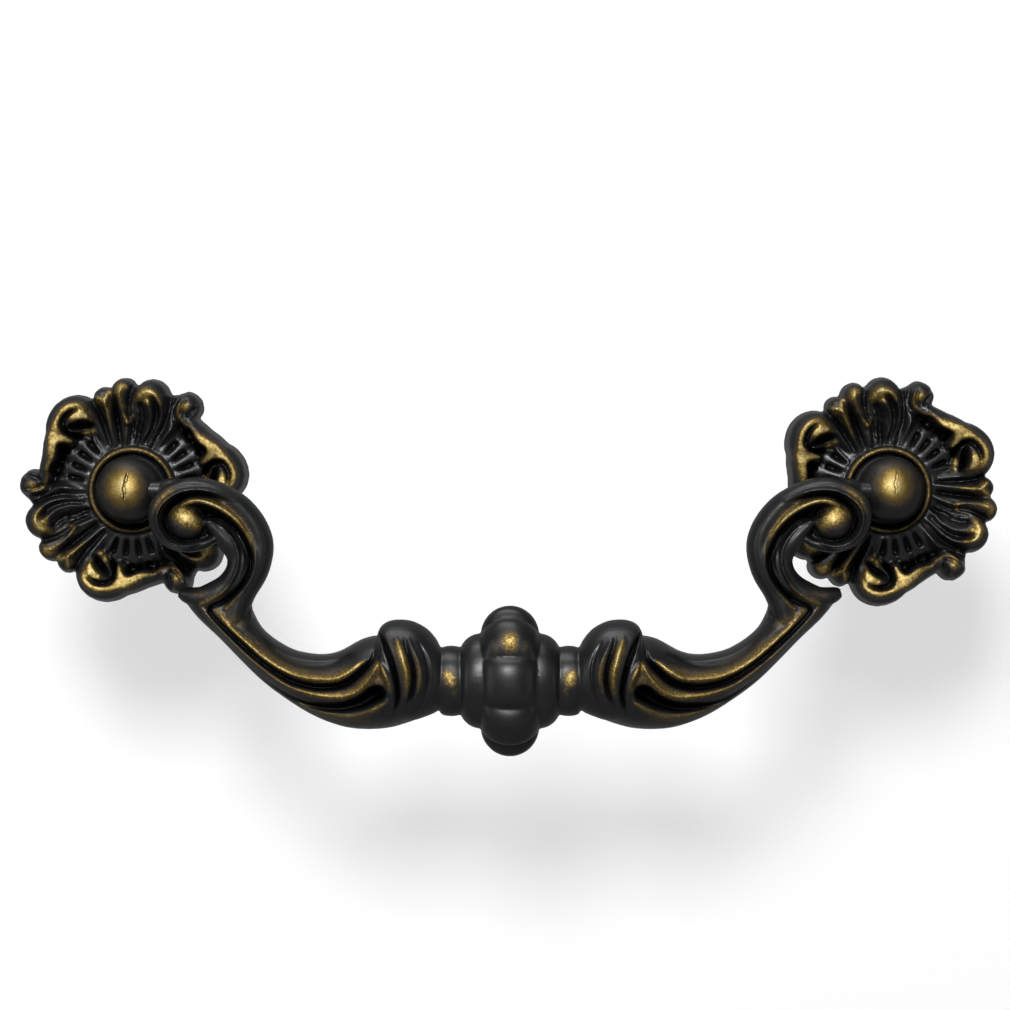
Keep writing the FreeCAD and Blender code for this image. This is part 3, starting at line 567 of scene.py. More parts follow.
# chisel lines on the front: x from the middle of the bail, z from the pivot
bail_board = (np.arange(-1, 66, 0.1), np.arange(-46, 6, 0.1))
bail_ridges = [
    # ridge along the top of the horn's hollow, from the heel
    (crested, [(48.3, -20.7, 0.5, 0.3), (46.9, -22.6, 0.8, 0.5), (44.8, -24.6, 1.0, 0.7),
                    (42.4, -26.7, 1.2, 0.85), (40.1, -28.5, 1.3, 0.9), (37.9, -29.8, 1.35, 0.95),
                    (35.2, -30.9, 1.4, 1.0), (32.2, -31.35, 1.45, 1.0), (29.1, -31.3, 1.4, 1.0),
                    (26.8, -30.2, 1.2, 0.85), (25.2, -29.0, 0.8, 0.6), (24.2, -28.3, 0.3, 0.2)]),
    # middle ridge, with the web at its end
    (crested, [(51.7, -19.4, 0.3, 0.3), (50.7, -20.7, 0.5, 0.45), (49.3, -22.3, 0.6, 0.55),
                    (47.3, -24.4, 0.7, 0.6), (45.0, -26.7, 0.8, 0.65), (41.5, -29.5, 0.9, 0.7),
                    (38.0, -32.1, 1.0, 0.8), (34.5, -33.5, 1.1, 0.85), (31.0, -34.2, 1.15, 0.9),
                    (27.9, -34.3, 1.15, 0.9), (25.6, -33.5, 1.2, 0.9), (23.8, -31.8, 1.3, 0.9),
                    (22.6, -30.0, 1.1, 0.8), (21.8, -28.4, 0.5, 0.5)]),
    (crested, [(21.8, -28.4, 0.6, 0.5), (20.9, -30.2, 0.9, 0.85), (20.2, -31.8, 0.9, 0.8),
                    (19.7, -33.4, 0.6, 0.6), (19.9, -34.9, 0.5, 0.4)]),
    # lowest ridge
    (crested, [(39.5, -33.0, 0.2, 0.15), (36.2, -35.3, 0.6, 0.4), (31.0, -37.3, 0.8, 0.6),
                    (26.8, -37.8, 0.9, 0.7), (24.0, -37.1, 0.9, 0.7), (21.7, -36.0, 0.8, 0.6),
                    (19.9, -34.9, 0.4, 0.4)]),
    # two folds of the cap
    (crested, [(18.9, -24.4, 0.4, 0.2), (18.5, -25.6, 0.9, 0.55), (17.7, -28.1, 1.1, 0.8),
                    (17.1, -30.9, 1.1, 0.8), (17.3, -33.7, 0.9, 0.5), (18.2, -36.0, 0.3, 0.1)]),
    (crested, [(16.9, -24.6, 0.3, 0.2), (16.5, -25.6, 0.6, 0.45), (15.3, -28.1, 0.8, 0.6),
                     (14.8, -30.9, 0.85, 0.6), (15.3, -33.7, 0.8, 0.5), (17.0, -35.9, 0.3, 0.2)]),
    # thin edge inside the volute's rim
    (crested, [(45.6, -1.8, 0.3, 0.15), (47.8, -0.85, 0.45, 0.5), (49.8, -0.2, 0.5, 0.7), (52.2, 0.1, 0.5, 0.8),
               (54.9, -0.4, 0.55, 0.8), (56.9, -1.7, 0.55, 0.8), (58.2, -3.3, 0.55, 0.8),
               (58.5, -5.2, 0.55, 0.8), (57.8, -7.2, 0.55, 0.8), (56.3, -8.8, 0.55, 0.8),
               (54.3, -9.4, 0.5, 0.7), (52.6, -9.2, 0.4, 0.4), (51.2, -8.5, 0.2, 0.1)]),
    # bright arm from the eye down the inside of the outer arm
    (crested, [(55.0, -3.0, 0.7, 0.2), (54.3, -2.3, 0.9, 0.4), (52.2, -1.75, 1.1, 0.7),
                    (49.8, -2.3, 1.1, 0.8), (47.2, -3.6, 1.0, 0.8), (45.0, -5.4, 0.9, 0.7),
                    (43.4, -7.6, 0.75, 0.6), (42.5, -10.0, 0.55, 0.45), (42.4, -12.4, 0.45, 0.4),
                    (43.0, -14.6, 0.4, 0.35), (44.2, -16.6, 0.4, 0.35), (45.6, -18.0, 0.4, 0.4), (47.5, -19.9, 0.4, 0.4)]),
    # thin ridge down the inner arm to the heel
    (crested, [(50.4, -5.0, 0.5, 0.4), (49.2, -5.1, 0.7, 0.7), (48.2, -5.7, 0.6, 0.7), (46.7, -7.4, 0.45, 0.7),
                     (45.5, -9.5, 0.42, 0.7), (45.2, -11.9, 0.42, 0.7), (45.9, -14.3, 0.42, 0.7),
                     (47.5, -16.7, 0.4, 0.6), (49.8, -18.3, 0.45, 0.6), (51.7, -19.2, 0.4, 0.4)]),
    (crested, [(46.6, -5.3, 0.3, 0.1), (44.9, -8.3, 0.4, 0.25), (44.3, -11.5, 0.4, 0.3), (44.9, -14.4, 0.4, 0.3),
                     (46.6, -16.9, 0.3, 0.2)]),
]
bail_grooves = [
    (eased, [(54.9, -3.0, 0.1, 0.1), (53.4, -2.75, 0.35, 0.7), (51.5, -2.75, 0.6, 1.3), (48.9, -3.8, 0.75, 1.6),
             (46.4, -5.6, 0.8, 1.7), (44.6, -7.8, 0.8, 1.6), (43.5, -10.2, 0.75, 1.5), (43.2, -12.2, 0.7, 1.5),
             (43.8, -14.4, 0.7, 1.4), (45.3, -16.6, 0.65, 1.3), (47.2, -18.3, 0.6, 1.2), (50.0, -19.7, 0.5, 1.1),
             (49.4, -21.2, 0.5, 1.0), (47.2, -23.4, 0.6, 1.0), (45.0, -25.4, 0.7, 1.1), (41.3, -28.7, 0.8, 1.1),
             (36.8, -31.6, 0.9, 1.2), (33.3, -32.7, 0.95, 1.3), (31.0, -32.9, 0.95, 1.3), (27.3, -32.2, 0.95, 1.3),
             (24.4, -30.0, 0.9, 1.2), (22.9, -28.2, 0.6, 0.8), (22.6, -26.9, 0.3, 0.3)]),
    # hollow along the top of the horn
    (eased, [(43.0, -22.9, 0.5, 0.1), (39.7, -26.6, 1.0, 0.45), (36.7, -28.5, 1.2, 0.6), (33.3, -29.3, 1.3, 0.65),
             (30.0, -29.1, 1.2, 0.55), (26.5, -27.6, 0.8, 0.25)]),
    # teardrop between the middle and the lowest ridge
    (scooped, [(44.0, -29.0, 0.2, 0.1), (40.0, -32.3, 0.35, 0.35), (35.0, -35.3, 0.55, 0.8), (31.0, -36.1, 0.75, 1.2),
               (27.5, -36.1, 0.95, 1.6), (24.7, -35.3, 1.2, 2.1), (22.6, -34.1, 1.5, 2.6), (22.0, -33.8, 1.45, 2.4)]),
    # either side of the cap's folds
    (eased, [(22.0, -23.0, 0.3, 0.7), (21.4, -24.2, 0.45, 1.1), (20.1, -27.2, 0.6, 1.4), (19.2, -30.0, 0.6, 1.5),
             (18.6, -33.2, 0.55, 1.4), (18.8, -35.4, 0.45, 1.0), (19.4, -37.4, 0.2, 0.2)]),
    (eased, [(17.4, -24.6, 0.2, 0.2), (17.2, -26.2, 0.45, 0.6), (16.4, -28.4, 0.6, 0.9), (15.95, -31.0, 0.6, 0.9),
             (16.3, -33.9, 0.5, 0.7), (17.4, -36.3, 0.2, 0.2)]),
    (eased, [(15.2, -25.2, 0.2, 0.1), (13.9, -28.0, 0.5, 0.35), (13.5, -31.0, 0.5, 0.4), (14.0, -34.0, 0.4, 0.3),
             (15.6, -36.6, 0.2, 0.1)]),
    # shadow line inside the volute's rim
    (eased, [(46.6, -2.2, 0.2, 0.1), (48.2, -1.5, 0.4, 0.7), (50.4, -0.95, 0.5, 1.1), (52.4, -0.8, 0.5, 1.2),
             (54.6, -1.2, 0.5, 1.3), (56.1, -2.3, 0.55, 1.3), (57.2, -3.8, 0.6, 1.3), (57.5, -5.3, 0.6, 1.3),
             (56.9, -7.0, 0.6, 1.3), (55.5, -8.2, 0.55, 1.2), (53.9, -8.55, 0.5, 1.0), (52.0, -8.2, 0.45, 0.6),
             (50.8, -7.4, 0.3, 0.3)]),
    # corners beside the eye
    (scooped, [(51.9, -3.5, 0.6, 0.9), (50.8, -4.1, 0.9, 1.5), (49.6, -4.4, 0.7, 1.3), (48.6, -4.8, 0.4, 0.7)]),
    (scooped, [(51.0, -6.8, 0.45, 0.5), (50.4, -7.8, 0.5, 0.7), (51.6, -8.4, 0.35, 0.4)]),
]
# where brass shows: (x, z, half width, strength)
bail_rubs = [
    [(49.3, -19.5, 0.7, 0.42), (48.2, -20.9, 0.6, 0.65), (46.9, -22.5, 0.55, 0.75), (44.8, -24.5, 0.55, 0.8),
     (40.1, -28.4, 0.55, 0.88), (37.5, -29.9, 0.6, 0.85), (35.2, -30.8, 0.75, 0.72), (32.2, -31.3, 0.9, 0.66),
     (29.1, -31.3, 0.85, 0.72), (26.8, -30.2, 0.55, 0.95), (25.4, -29.2, 0.45, 1.0), (24.4, -28.5, 0.25, 0.9)],
    [(44.0, -24.3, 0.9, 0.34), (40.5, -27.2, 1.2, 0.42), (37.0, -29.3, 1.3, 0.42), (33.0, -30.7, 1.3, 0.42),
     (29.5, -30.7, 1.2, 0.4), (26.5, -29.6, 0.8, 0.36)],
    [(51.7, -19.4, 0.3, 0.6), (49.3, -22.3, 0.25, 0.5), (45.0, -26.7, 0.3, 0.55), (38.0, -32.1, 0.4, 0.6),
     (34.5, -33.5, 0.55, 0.68), (31.0, -34.2, 0.7, 0.75), (27.9, -34.2, 0.9, 0.75), (25.6, -33.4, 1.0, 0.7),
     (23.8, -31.8, 1.1, 0.62), (22.5, -30.2, 1.0, 0.6), (21.9, -28.8, 0.4, 0.85)],
    [(21.8, -28.7, 0.4, 0.95), (21.1, -30.0, 0.45, 1.0), (20.3, -31.8, 0.45, 0.8), (19.9, -33.4, 0.35, 0.6)],
    [(22.7, -31.3, 1.3, 0.48), (21.4, -31.6, 1.1, 0.48)],
    [(36.2, -35.3, 0.3, 0.35), (31.0, -37.3, 0.5, 0.55), (26.8, -37.8, 0.55, 0.6), (24.0, -37.2, 0.5, 0.65),
     (21.9, -36.1, 0.45, 0.75), (20.6, -35.3, 0.3, 0.5)],
    [(33.0, -37.6, 0.9, 0.36), (28.0, -38.6, 1.1, 0.38), (23.5, -38.3, 0.9, 0.3)],
    [(18.7, -25.0, 0.5, 0.6), (18.3, -26.4, 0.8, 0.95), (17.7, -28.1, 0.85, 1.0), (17.2, -30.0, 0.9, 0.75),
     (17.1, -32.4, 0.7, 0.55), (17.4, -34.0, 0.5, 0.35)],
    [(55.6, 0.3, 0.7, 0.35), (56.8, -0.5, 0.95, 0.55), (58.0, -2.0, 0.9, 0.55), (58.9, -3.6, 0.6, 0.35)],
    [(55.4, -3.9, 1.5, 0.75), (54.2, -4.4, 1.9, 0.9), (53.0, -5.0, 1.8, 0.9), (52.0, -5.9, 1.1, 0.75)],
    [(54.8, -2.9, 0.8, 0.85), (52.2, -1.85, 0.75, 0.9), (49.8, -2.35, 0.8, 0.95), (47.2, -3.6, 0.8, 0.95),
     (45.2, -5.2, 0.7, 0.9), (43.7, -7.2, 0.6, 0.7), (42.8, -9.4, 0.5, 0.45), (42.4, -11.5, 0.3, 0.3)],
    [(52.4, -1.2, 1.0, 0.3), (49.0, -1.9, 1.1, 0.42), (46.0, -3.8, 1.1, 0.42), (43.9, -6.5, 0.9, 0.4), (42.5, -9.5, 0.7, 0.36)],
    [(46.5, -15.6, 0.3, 0.3), (48.1, -17.3, 0.5, 0.5), (49.8, -18.2, 0.6, 0.55), (51.5, -19.0, 0.5, 0.6)],
    [(44.6, -17.2, 0.3, 0.3), (46.0, -18.6, 0.35, 0.6), (47.3, -19.7, 0.35, 0.7)],
    [(47.3, -21.0, 1.3, 0.45), (45.6, -22.0, 1.2, 0.4), (44.4, -22.6, 0.8, 0.34)],
    [(50.8, -17.2, 1.0, 0.3), (52.6, -17.6, 0.8, 0.3)],
    [(16.2, -26.6, 0.4, 0.25), (15.3, -28.8, 0.6, 0.46), (14.9, -31.0, 0.6, 0.44), (15.3, -33.4, 0.5, 0.25)],
    [(10.4, -30.3, 0.8, 0.75), (10.0, -31.2, 1.35, 0.88), (9.7, -32.2, 0.8, 0.7)],
    [(9.2, -33.4, 0.7, 0.35), (9.3, -34.6, 0.4, 0.2)],
    [(0.0, -24.0, 1.2, 0.55), (0.0, -24.9, 1.8, 0.8), (0.2, -25.9, 1.4, 0.6)],
    [(2.6, -25.4, 0.6, 0.35), (2.2, -26.6, 0.6, 0.3)],
]


def carve(piece, board, ridges, grooves, mirror):
    """Move the front of the piece out along the ridges and in along the grooves."""
    relief = np.zeros((len(board[0]), len(board[1])))
    for profile, stations in ridges:
        off, height = trace(board, stations)
        relief = np.maximum(relief, height * profile(off))
    for profile, stations in grooves:
        off, height = trace(board, stations)
        relief -= height * profile(off)
    relief = softened(relief, 1)
    points, normals = points_of(piece), normals_of(piece)
    across = np.abs(points[:, 0]) if mirror else points[:, 0]
    facing = np.clip((-normals[:, 1] - 0.1) / 0.5, 0, 1)
    points[:, 1] -= facing * read_board(board, relief, across, points[:, 2])
    set_points(piece, points)
    return relief


def rub_field(board, rubs):
    rub = np.zeros((len(board[0]), len(board[1])))
    for stations in rubs:
        off, strength = trace(board, [(x, z, wide * 1.5, strong) for x, z, wide, strong in stations])
        rub = np.maximum(rub, strength * eased(off))
    return softened(rub, 1)


bail_relief = carve(bail, bail_board, bail_ridges, bail_grooves, mirror=True)
applied(bail, "SMOOTH", factor=0.35, iterations=2)
bail_faces = len(bail.data.polygons) * 2
applied(bail, "DECIMATE", ratio=min(1, 190000 / bail_faces))
bail_points = points_of(bail)
facing = np.clip((-normals_of(bail)[:, 1] - 0.1) / 0.4, 0, 1)
write_mask(bail, "rub", facing * read_board(bail_board, rub_field(bail_board, bail_rubs),
                                            np.abs(bail_points[:, 0]), bail_points[:, 2]))
# the hollows, which the material paints darker: partly stain, partly painted shade
write_mask(bail, "stain_and_shade", facing * read_board(bail_board, sunk_parts(bail_relief, 16, 0.9),
                                             np.abs(bail_points[:, 0]), bail_points[:, 2]))
only(bail)
bpy.ops.object.shade_smooth()
bail.data.materials.clear()
bail.data.materials.append(bronze)
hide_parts("bail")
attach(bail, "bail")
print("bail", len(bail.data.polygons))


# Rosettes
# The same casting twice. Three sectors round a raised ring, each with a leaf of three lobes,
# a curled scroll that ends in a ball, and a fluted field between scroll and ring.
rosette_rim = 19.2
cell = 0.15
rosette_board = (np.arange(-20.5, 20.5 + cell, cell), np.arange(-20.5, 20.5 + cell, cell))


def sector(stations, first, third):
    """Stations given as (angle in the sector, radius, half width, height), turned to (x, z, ...)."""
    turned = []
    for angle, radius, wide, height in stations:
        turn = math.radians(first + 120 * third + angle)
        turned.append((radius * math.cos(turn), radius * math.sin(turn), wide, height))
    return turned


# solid masses: heights are above the drawer front
rosette_masses = [
    # curl, then the scroll along the rim to the ball
    (rounded, [(60, 13.4, 1.6, 4.6), (62, 15.0, 2.6, 5.7), (66, 16.1, 3.1, 6.1), (71, 16.5, 3.2, 6.2),
               (78, 16.8, 2.3, 6.2), (84, 16.5, 1.5, 6.1), (90, 15.9, 1.5, 5.9), (97, 15.1, 1.65, 5.6),
               (104, 15.2, 1.3, 5.3), (109, 15.1, 1.35, 5.2), (113, 15.3, 1.5, 5.1)]),
    (rounded, [(84.5, 15.6, 1.4, 5.7), (82.3, 13.5, 1.15, 5.4)]),
    (rounded, [(116, 17.0, 2.35, 5.2), (117.5, 17.05, 2.35, 5.2)]),
    # leaf
    (rounded, [(14, 8.0, 1.8, 3.7), (13, 10.5, 2.7, 4.4), (15, 13.3, 3.2, 5.3), (18.5, 16.0, 3.15, 6.3)]),
    (rounded, [(28, 9.0, 1.8, 3.4), (27, 12.5, 2.4, 3.8), (29, 15.8, 2.0, 4.7)]),
    (rounded, [(38, 8.0, 1.4, 3.6), (35, 11.5, 2.0, 4.3), (34.5, 14.5, 2.3, 5.2), (35, 16.8, 2.35, 5.9)]),
    (rounded, [(41.5, 14.5, 1.4, 4.2), (41.5, 16.4, 1.4, 4.5)]),
    (rounded, [(50, 8.0, 1.3, 3.6), (48, 12.0, 1.9, 4.2), (47.3, 15.0, 2.0, 5.0), (47.5, 16.3, 2.0, 5.3)]),
    (rounded, [(3, 8.0, 1.4, 3.3), (1, 11.5, 1.9, 3.9), (3, 15.0, 2.1, 4.4), (5, 16.0, 1.8, 4.4)]),
    (rounded, [(58, 8.5, 1.5, 3.3), (57, 11.5, 1.7, 3.8), (55.5, 14.5, 1.8, 4.3), (54, 15.8, 1.4, 4.4)]),
    (rounded, [(112, 16.2, 1.2, 4.4), (121.5, 15.4, 1.6, 4.2)]),
]
rosette_ridges = [
    # leaf: two thin ridges joined by a hook at the top
    (crested, [(8.6, 7.6, 0.4, 0.4), (7, 10.8, 0.6, 0.7), (7.5, 13.5, 0.65, 0.8), (11, 15.4, 0.8, 0.8),
               (14.5, 16.5, 0.9, 0.8), (19, 17.0, 1.3, 0.7), (23.5, 16.7, 1.2, 0.6), (26.5, 15.7, 0.8, 0.4)]),
    (crested, [(23, 7.2, 0.4, 0.4), (17, 9.3, 0.55, 0.6), (13.5, 11.0, 0.6, 0.7), (15, 13.2, 0.6, 0.7),
               (19, 14.9, 0.7, 0.6)]),
    (crested, [(40, 7.5, 0.5, 0.4), (36.5, 8.6, 0.6, 0.6), (33.6, 11.4, 0.6, 0.8), (36, 12.8, 0.5, 0.8),
               (37, 14.2, 0.55, 0.7), (37, 16.3, 0.9, 0.7), (35.5, 17.5, 1.1, 0.5)]),
    (crested, [(34.2, 11.3, 0.45, 0.6), (31, 11.5, 0.4, 0.7), (29.3, 12.5, 0.35, 0.6)]),
    (crested, [(54, 7.7, 0.5, 0.4), (50, 10.0, 0.55, 0.6), (47.6, 12.8, 0.6, 0.7), (46.4, 15.3, 0.7, 0.8),
               (42.7, 17.2, 0.6, 0.5)]),
    (crested, [(46.4, 15.2, 0.6, 0.7), (48, 16.1, 0.6, 0.7), (50.8, 16.8, 0.6, 0.5)]),
    (crested, [(70.4, 8.2, 0.4, 0.4), (67.5, 10.5, 0.45, 0.6), (64.5, 12.0, 0.5, 0.7)]),
    (crested, [(57.5, 8.0, 0.4, 0.3), (57, 11.0, 0.5, 0.4), (55, 14.0, 0.5, 0.3)]),
    (crested, [(1, 7.7, 0.4, 0.4), (-2, 10.5, 0.5, 0.6), (-1.5, 13.5, 0.5, 0.6), (2, 15.6, 0.4, 0.4)]),
    # crest of the scroll, with a spur towards the field
    (eased, [(60.5, 15.9, 0.9, 0.4), (62, 16.9, 1.0, 0.6), (66, 17.55, 1.05, 0.7), (71, 17.75, 1.05, 0.8), (77, 17.15, 1.1, 0.9),
             (84, 16.1, 1.2, 0.9), (88.5, 15.5, 1.1, 0.9), (92.5, 15.1, 1.1, 0.9), (97, 14.7, 1.1, 0.8),
             (101, 14.8, 0.9, 0.7), (106, 14.8, 0.8, 0.6)]),
    (crested, [(94, 14.2, 0.5, 0.3), (97, 14.0, 0.7, 0.7), (101, 14.3, 0.7, 0.8),
               (106, 14.6, 0.65, 0.7), (111, 14.2, 0.6, 0.7), (115.5, 14.5, 0.5, 0.7),
               (119.5, 15.4, 0.45, 0.6), (121, 16.8, 0.4, 0.5), (121.3, 17.8, 0.3, 0.3)]),
    (eased, [(85, 15.8, 1.2, 0.6), (83.3, 14.6, 1.1, 0.8), (81.5, 12.9, 0.7, 0.7)]),
    # lens in the curl, and the lip below it
    (eased, [(60.8, 13.6, 0.6, 0.6), (62.5, 14.9, 1.2, 0.9), (65.5, 15.6, 1.35, 0.9), (69, 15.6, 1.0, 0.6)]),
    (crested, [(73.5, 13.4, 0.45, 0.5), (68.5, 12.4, 0.65, 0.7), (63, 11.9, 0.6, 0.6)]),
]
rosette_grooves = [
    (eased, [(14, 8.5, 0.4, 0.6), (11.5, 10.5, 0.6, 0.9), (11.3, 13.0, 0.75, 1.3), (14, 14.9, 0.75, 1.6), (17, 15.9, 0.6, 1.1)]),
    (eased, [(24, 8.3, 0.7, 0.5), (22.5, 10.5, 1.0, 0.9), (21.5, 12.8, 1.0, 1.2), (24, 14.4, 0.8, 1.2)]),
    (eased, [(31, 9.0, 0.5, 0.5), (29.5, 11.4, 0.6, 0.9), (31.5, 12.4, 0.5, 0.9), (32, 14.5, 0.6, 1.3), (30.5, 16.5, 0.55, 1.6),
             (28.5, 18.5, 0.5, 1.5)]),
    (eased, [(44, 8.5, 0.5, 0.6), (42, 11.5, 0.7, 1.1), (41.5, 14.3, 0.7, 1.2), (40.5, 15.8, 0.4, 0.6)]),
    (eased, [(51, 12.0, 0.4, 0.4), (49.5, 14.0, 0.4, 0.6), (51, 15.2, 0.4, 0.5)]),
    (eased, [(56, 8.5, 0.6, 0.6), (53.5, 11.5, 0.8, 1.0), (53, 14.0, 0.7, 1.2), (54, 16.4, 0.6, 1.4), (53.5, 18.0, 0.5, 1.3)]),
    (eased, [(7, 9.0, 0.5, 0.5), (3.5, 12.0, 0.7, 0.9), (5.5, 15.0, 0.7, 1.4), (7.5, 17.2, 0.55, 1.7), (7.5, 19.0, 0.5, 1.6)]),
    # recess below the lens, and the channel that winds round it
    (eased, [(61.3, 12.9, 0.7, 1.3), (64, 13.4, 0.9, 2.4), (68, 13.9, 1.0, 2.8), (72, 14.4, 0.85, 2.4), (75.5, 14.9, 0.5, 1.4)]),
    (eased, [(64, 16.3, 0.3, 0.6), (67, 16.6, 0.45, 1.5), (72, 16.6, 0.55, 2.0), (77, 16.0, 0.6, 2.2), (78.2, 15.1, 0.45, 2.2),
             (78.0, 14.1, 0.45, 2.1), (76.5, 13.2, 0.5, 1.7), (74, 12.6, 0.5, 1.0)]),
    # bites in the scroll's inner edge
    (eased, [(89.5, 13.2, 0.9, 2.0), (89.5, 13.8, 0.8, 1.6)]),
    (eased, [(95.5, 13.2, 0.7, 1.2), (95.5, 13.4, 0.7, 1.2)]),
    (eased, [(102, 13.0, 0.9, 1.8), (105.5, 13.4, 1.0, 1.8)]),
    # gap between scroll and ball, and the slot that winds into the ball
    (eased, [(111.5, 18.6, 0.7, 1.2), (112.5, 16.9, 0.5, 1.1), (113.3, 15.6, 0.4, 0.8)]),
    (eased, [(122.5, 18.6, 0.8, 1.4), (123.5, 16.5, 0.7, 1.4), (122, 14.8, 0.6, 1.1), (118, 13.6, 0.5, 0.6)]),
    (eased, [(116.5, 15.1, 0.3, 0.5), (119.3, 16.4, 0.35, 0.8), (119, 17.6, 0.3, 0.6)]),
]
# flat lands that rubbing has levelled: the heights are again above the drawer front
rosette_lands = [
    [(60.5, 15.9, 0.4, 6.0), (62, 16.9, 0.6, 6.5), (66, 17.5, 0.75, 6.75), (71, 17.6, 0.75, 6.8), (77, 16.9, 0.9, 6.8),
     (83, 15.9, 1.3, 6.75), (88.5, 15.3, 1.2, 6.6), (93, 14.9, 1.1, 6.5), (97, 14.6, 0.9, 6.3), (101, 14.6, 0.6, 6.0),
     (106, 14.7, 0.5, 5.7)],
    [(86, 15.7, 1.5, 6.7), (83.5, 14.8, 1.1, 6.5), (81.6, 13.9, 0.65, 6.2), (80.2, 12.9, 0.3, 5.7)],
    [(61.6, 14.6, 0.7, 6.1), (65, 15.4, 1.0, 6.4), (68.5, 15.5, 0.6, 6.3)],
]
rosette_petals = (78, 90, 102, 113)
rosette_slots = (72.5, 84, 96, 107.5)
rosette_dots = [(20, 9.4), (22.5, 10.4), (19.5, 11.4), (23, 12.0), (26, 9.2), (26.5, 11.0), (20.5, 12.9), (25, 13.2)]
rosette_rubs = [
    [(11.5, 15.4, 0.4, 0.8), (15, 16.4, 0.65, 1.0), (19, 16.7, 1.0, 1.0), (23, 16.5, 1.1, 0.95), (26.5, 15.5, 0.7, 0.7)],
    [(20, 15.4, 0.7, 0.85), (17.5, 14.8, 0.35, 0.5)],
    [(36.5, 14.2, 0.35, 0.4), (37, 15.8, 0.6, 0.55), (37.2, 16.8, 0.8, 0.9), (36, 17.6, 0.9, 1.0), (33, 17.5, 0.6, 0.8)],
    [(36.3, 13.0, 0.25, 0.7), (34, 11.6, 0.35, 0.85), (31.2, 11.5, 0.3, 0.9), (29.4, 12.5, 0.25, 0.7)],
    [(35.5, 10.5, 0.3, 0.5), (37, 9.0, 0.25, 0.35)],
    [(49.3, 10.6, 0.25, 0.35), (47.8, 12.8, 0.4, 0.7), (46.6, 14.6, 0.5, 0.95), (46, 15.7, 0.6, 1.0), (42.8, 17.2, 0.55, 1.0)],
    [(46.4, 15.4, 0.6, 1.0), (50.6, 16.7, 0.55, 1.0)],
    [(60.5, 15.8, 0.6, 0.85), (61.5, 16.7, 0.8, 0.9), (66, 17.4, 0.8, 0.95), (71, 17.6, 0.75, 0.9), (77, 17.0, 0.75, 0.85),
     (83, 16.0, 1.35, 0.9), (88.5, 15.4, 1.35, 0.95), (93, 14.9, 1.2, 0.9), (97, 14.5, 1.0, 0.9),
     (101, 14.5, 0.6, 0.7), (106, 14.6, 0.5, 0.65),
     (111, 14.2, 0.4, 0.8), (115.5, 14.5, 0.3, 0.8), (119.5, 15.4, 0.3, 0.8), (121, 16.8, 0.25, 0.7)],
    [(86, 15.6, 1.4, 0.9), (83.5, 14.7, 1.15, 0.95), (81.6, 13.7, 0.75, 0.95), (80.4, 12.9, 0.4, 0.9)],
    [(60.9, 13.8, 0.6, 0.8), (62.5, 15.0, 1.2, 1.0), (65.5, 15.6, 1.3, 1.0), (69, 15.6, 0.8, 0.8)],
    [(73, 13.3, 0.3, 0.6), (68.5, 12.4, 0.6, 0.9), (63.3, 11.9, 0.55, 0.95)],
    [(116.0, 17.2, 0.8, 0.45), (117.2, 16.9, 1.0, 0.75), (118.2, 16.6, 0.8, 0.85)],
    [(52.5, 16.2, 0.6, 0.4), (30, 14.0, 0.8, 0.3)],
]


def rosette_height(first):
    """The carved front of a rosette whose first sector starts at this angle."""
    xs, zs = rosette_board
    x, z = np.meshgrid(xs, zs, indexing="ij")
    radius = np.hypot(x, z)
    # dished field, up to the ring's foot in the middle
    field = 2.4 + 1.0 * np.clip((11.8 - radius) / 3.6, 0, 1)
    field = np.where(radius < rosette_rim - 3.2, field, -1.5)
    height = softened(field, 1)
    for third in range(3):
        for profile, stations in rosette_masses:
            off, crest = trace(rosette_board, [(*s[:2], s[2], s[3]) for s in sector(stations, first, third)])
            height = np.maximum(height, np.where(off < 1, crest - 3.0 + 3.0 * profile(off), -1.5))
    height = softened(height, 1)
    for third in range(3):
        for profile, stations in rosette_ridges:
            off, rise = trace(rosette_board, sector(stations, first, third))
            height += rise * profile(off)
        for stations in rosette_lands:
            off, level = trace(rosette_board, sector(stations, first, third))
            height += (level - height) * np.clip((1 - off) / 0.35, 0, 1)
        for angle in rosette_petals:
            off, rise = trace(rosette_board, sector(
                [(angle, 7.3, 0.8, 0.3), (angle, 9.0, 1.05, 0.45), (angle, 11.0, 1.35, 0.6), (angle, 12.0, 1.2, 0.6)],
                first, third))
            height += rise * rounded(off)
        for angle in rosette_slots:
            off, rise = trace(rosette_board, sector(
                [(angle, 8.6, 0.4, 0.8), (angle, 9.7, 0.58, 1.4), (angle, 10.8, 0.58, 1.4)], first, third))
            height -= rise * eased(off)
        for angle, out in rosette_dots:
            off, rise = trace(rosette_board, sector([(angle, out, 0.42, 0.2), (angle, out + 0.1, 0.42, 0.2)], first, third))
            height += rise * rounded(off)
        for profile, stations in rosette_grooves:
            off, depth = trace(rosette_board, sector(stations, first, third))
            height -= depth * profile(off)
    height = softened(height, 1)
    # raised ring, and the floor inside it that the flange stands on
    inside = radius < 6.7
    height = np.where(inside, 3.4, height)
    ring = np.clip(1 - np.abs(radius - 6.85) / 0.6, 0, 1)
    height = np.where(ring > 0, np.maximum(height, 3.4 + 1.55 * np.sqrt(1 - (1 - ring) ** 2)), height)
    return height


def rosette_rub(first):
    rub = np.zeros((len(rosette_board[0]), len(rosette_board[1])))
    for third in range(3):
        for stations in rosette_rubs:
            off, strength = trace(rosette_board, [(x, z, wide * 1.5, strong)
                                                  for x, z, wide, strong in sector(stations, first, third)])
            rub = np.maximum(rub, strength * eased(off))
    x, z = np.meshgrid(*rosette_board, indexing="ij")
    ring = np.clip(1.4 - np.abs(np.hypot(x, z) - 6.95) / 0.45, 0, 1)
    return softened(np.maximum(rub, 0.58 * ring), 1)


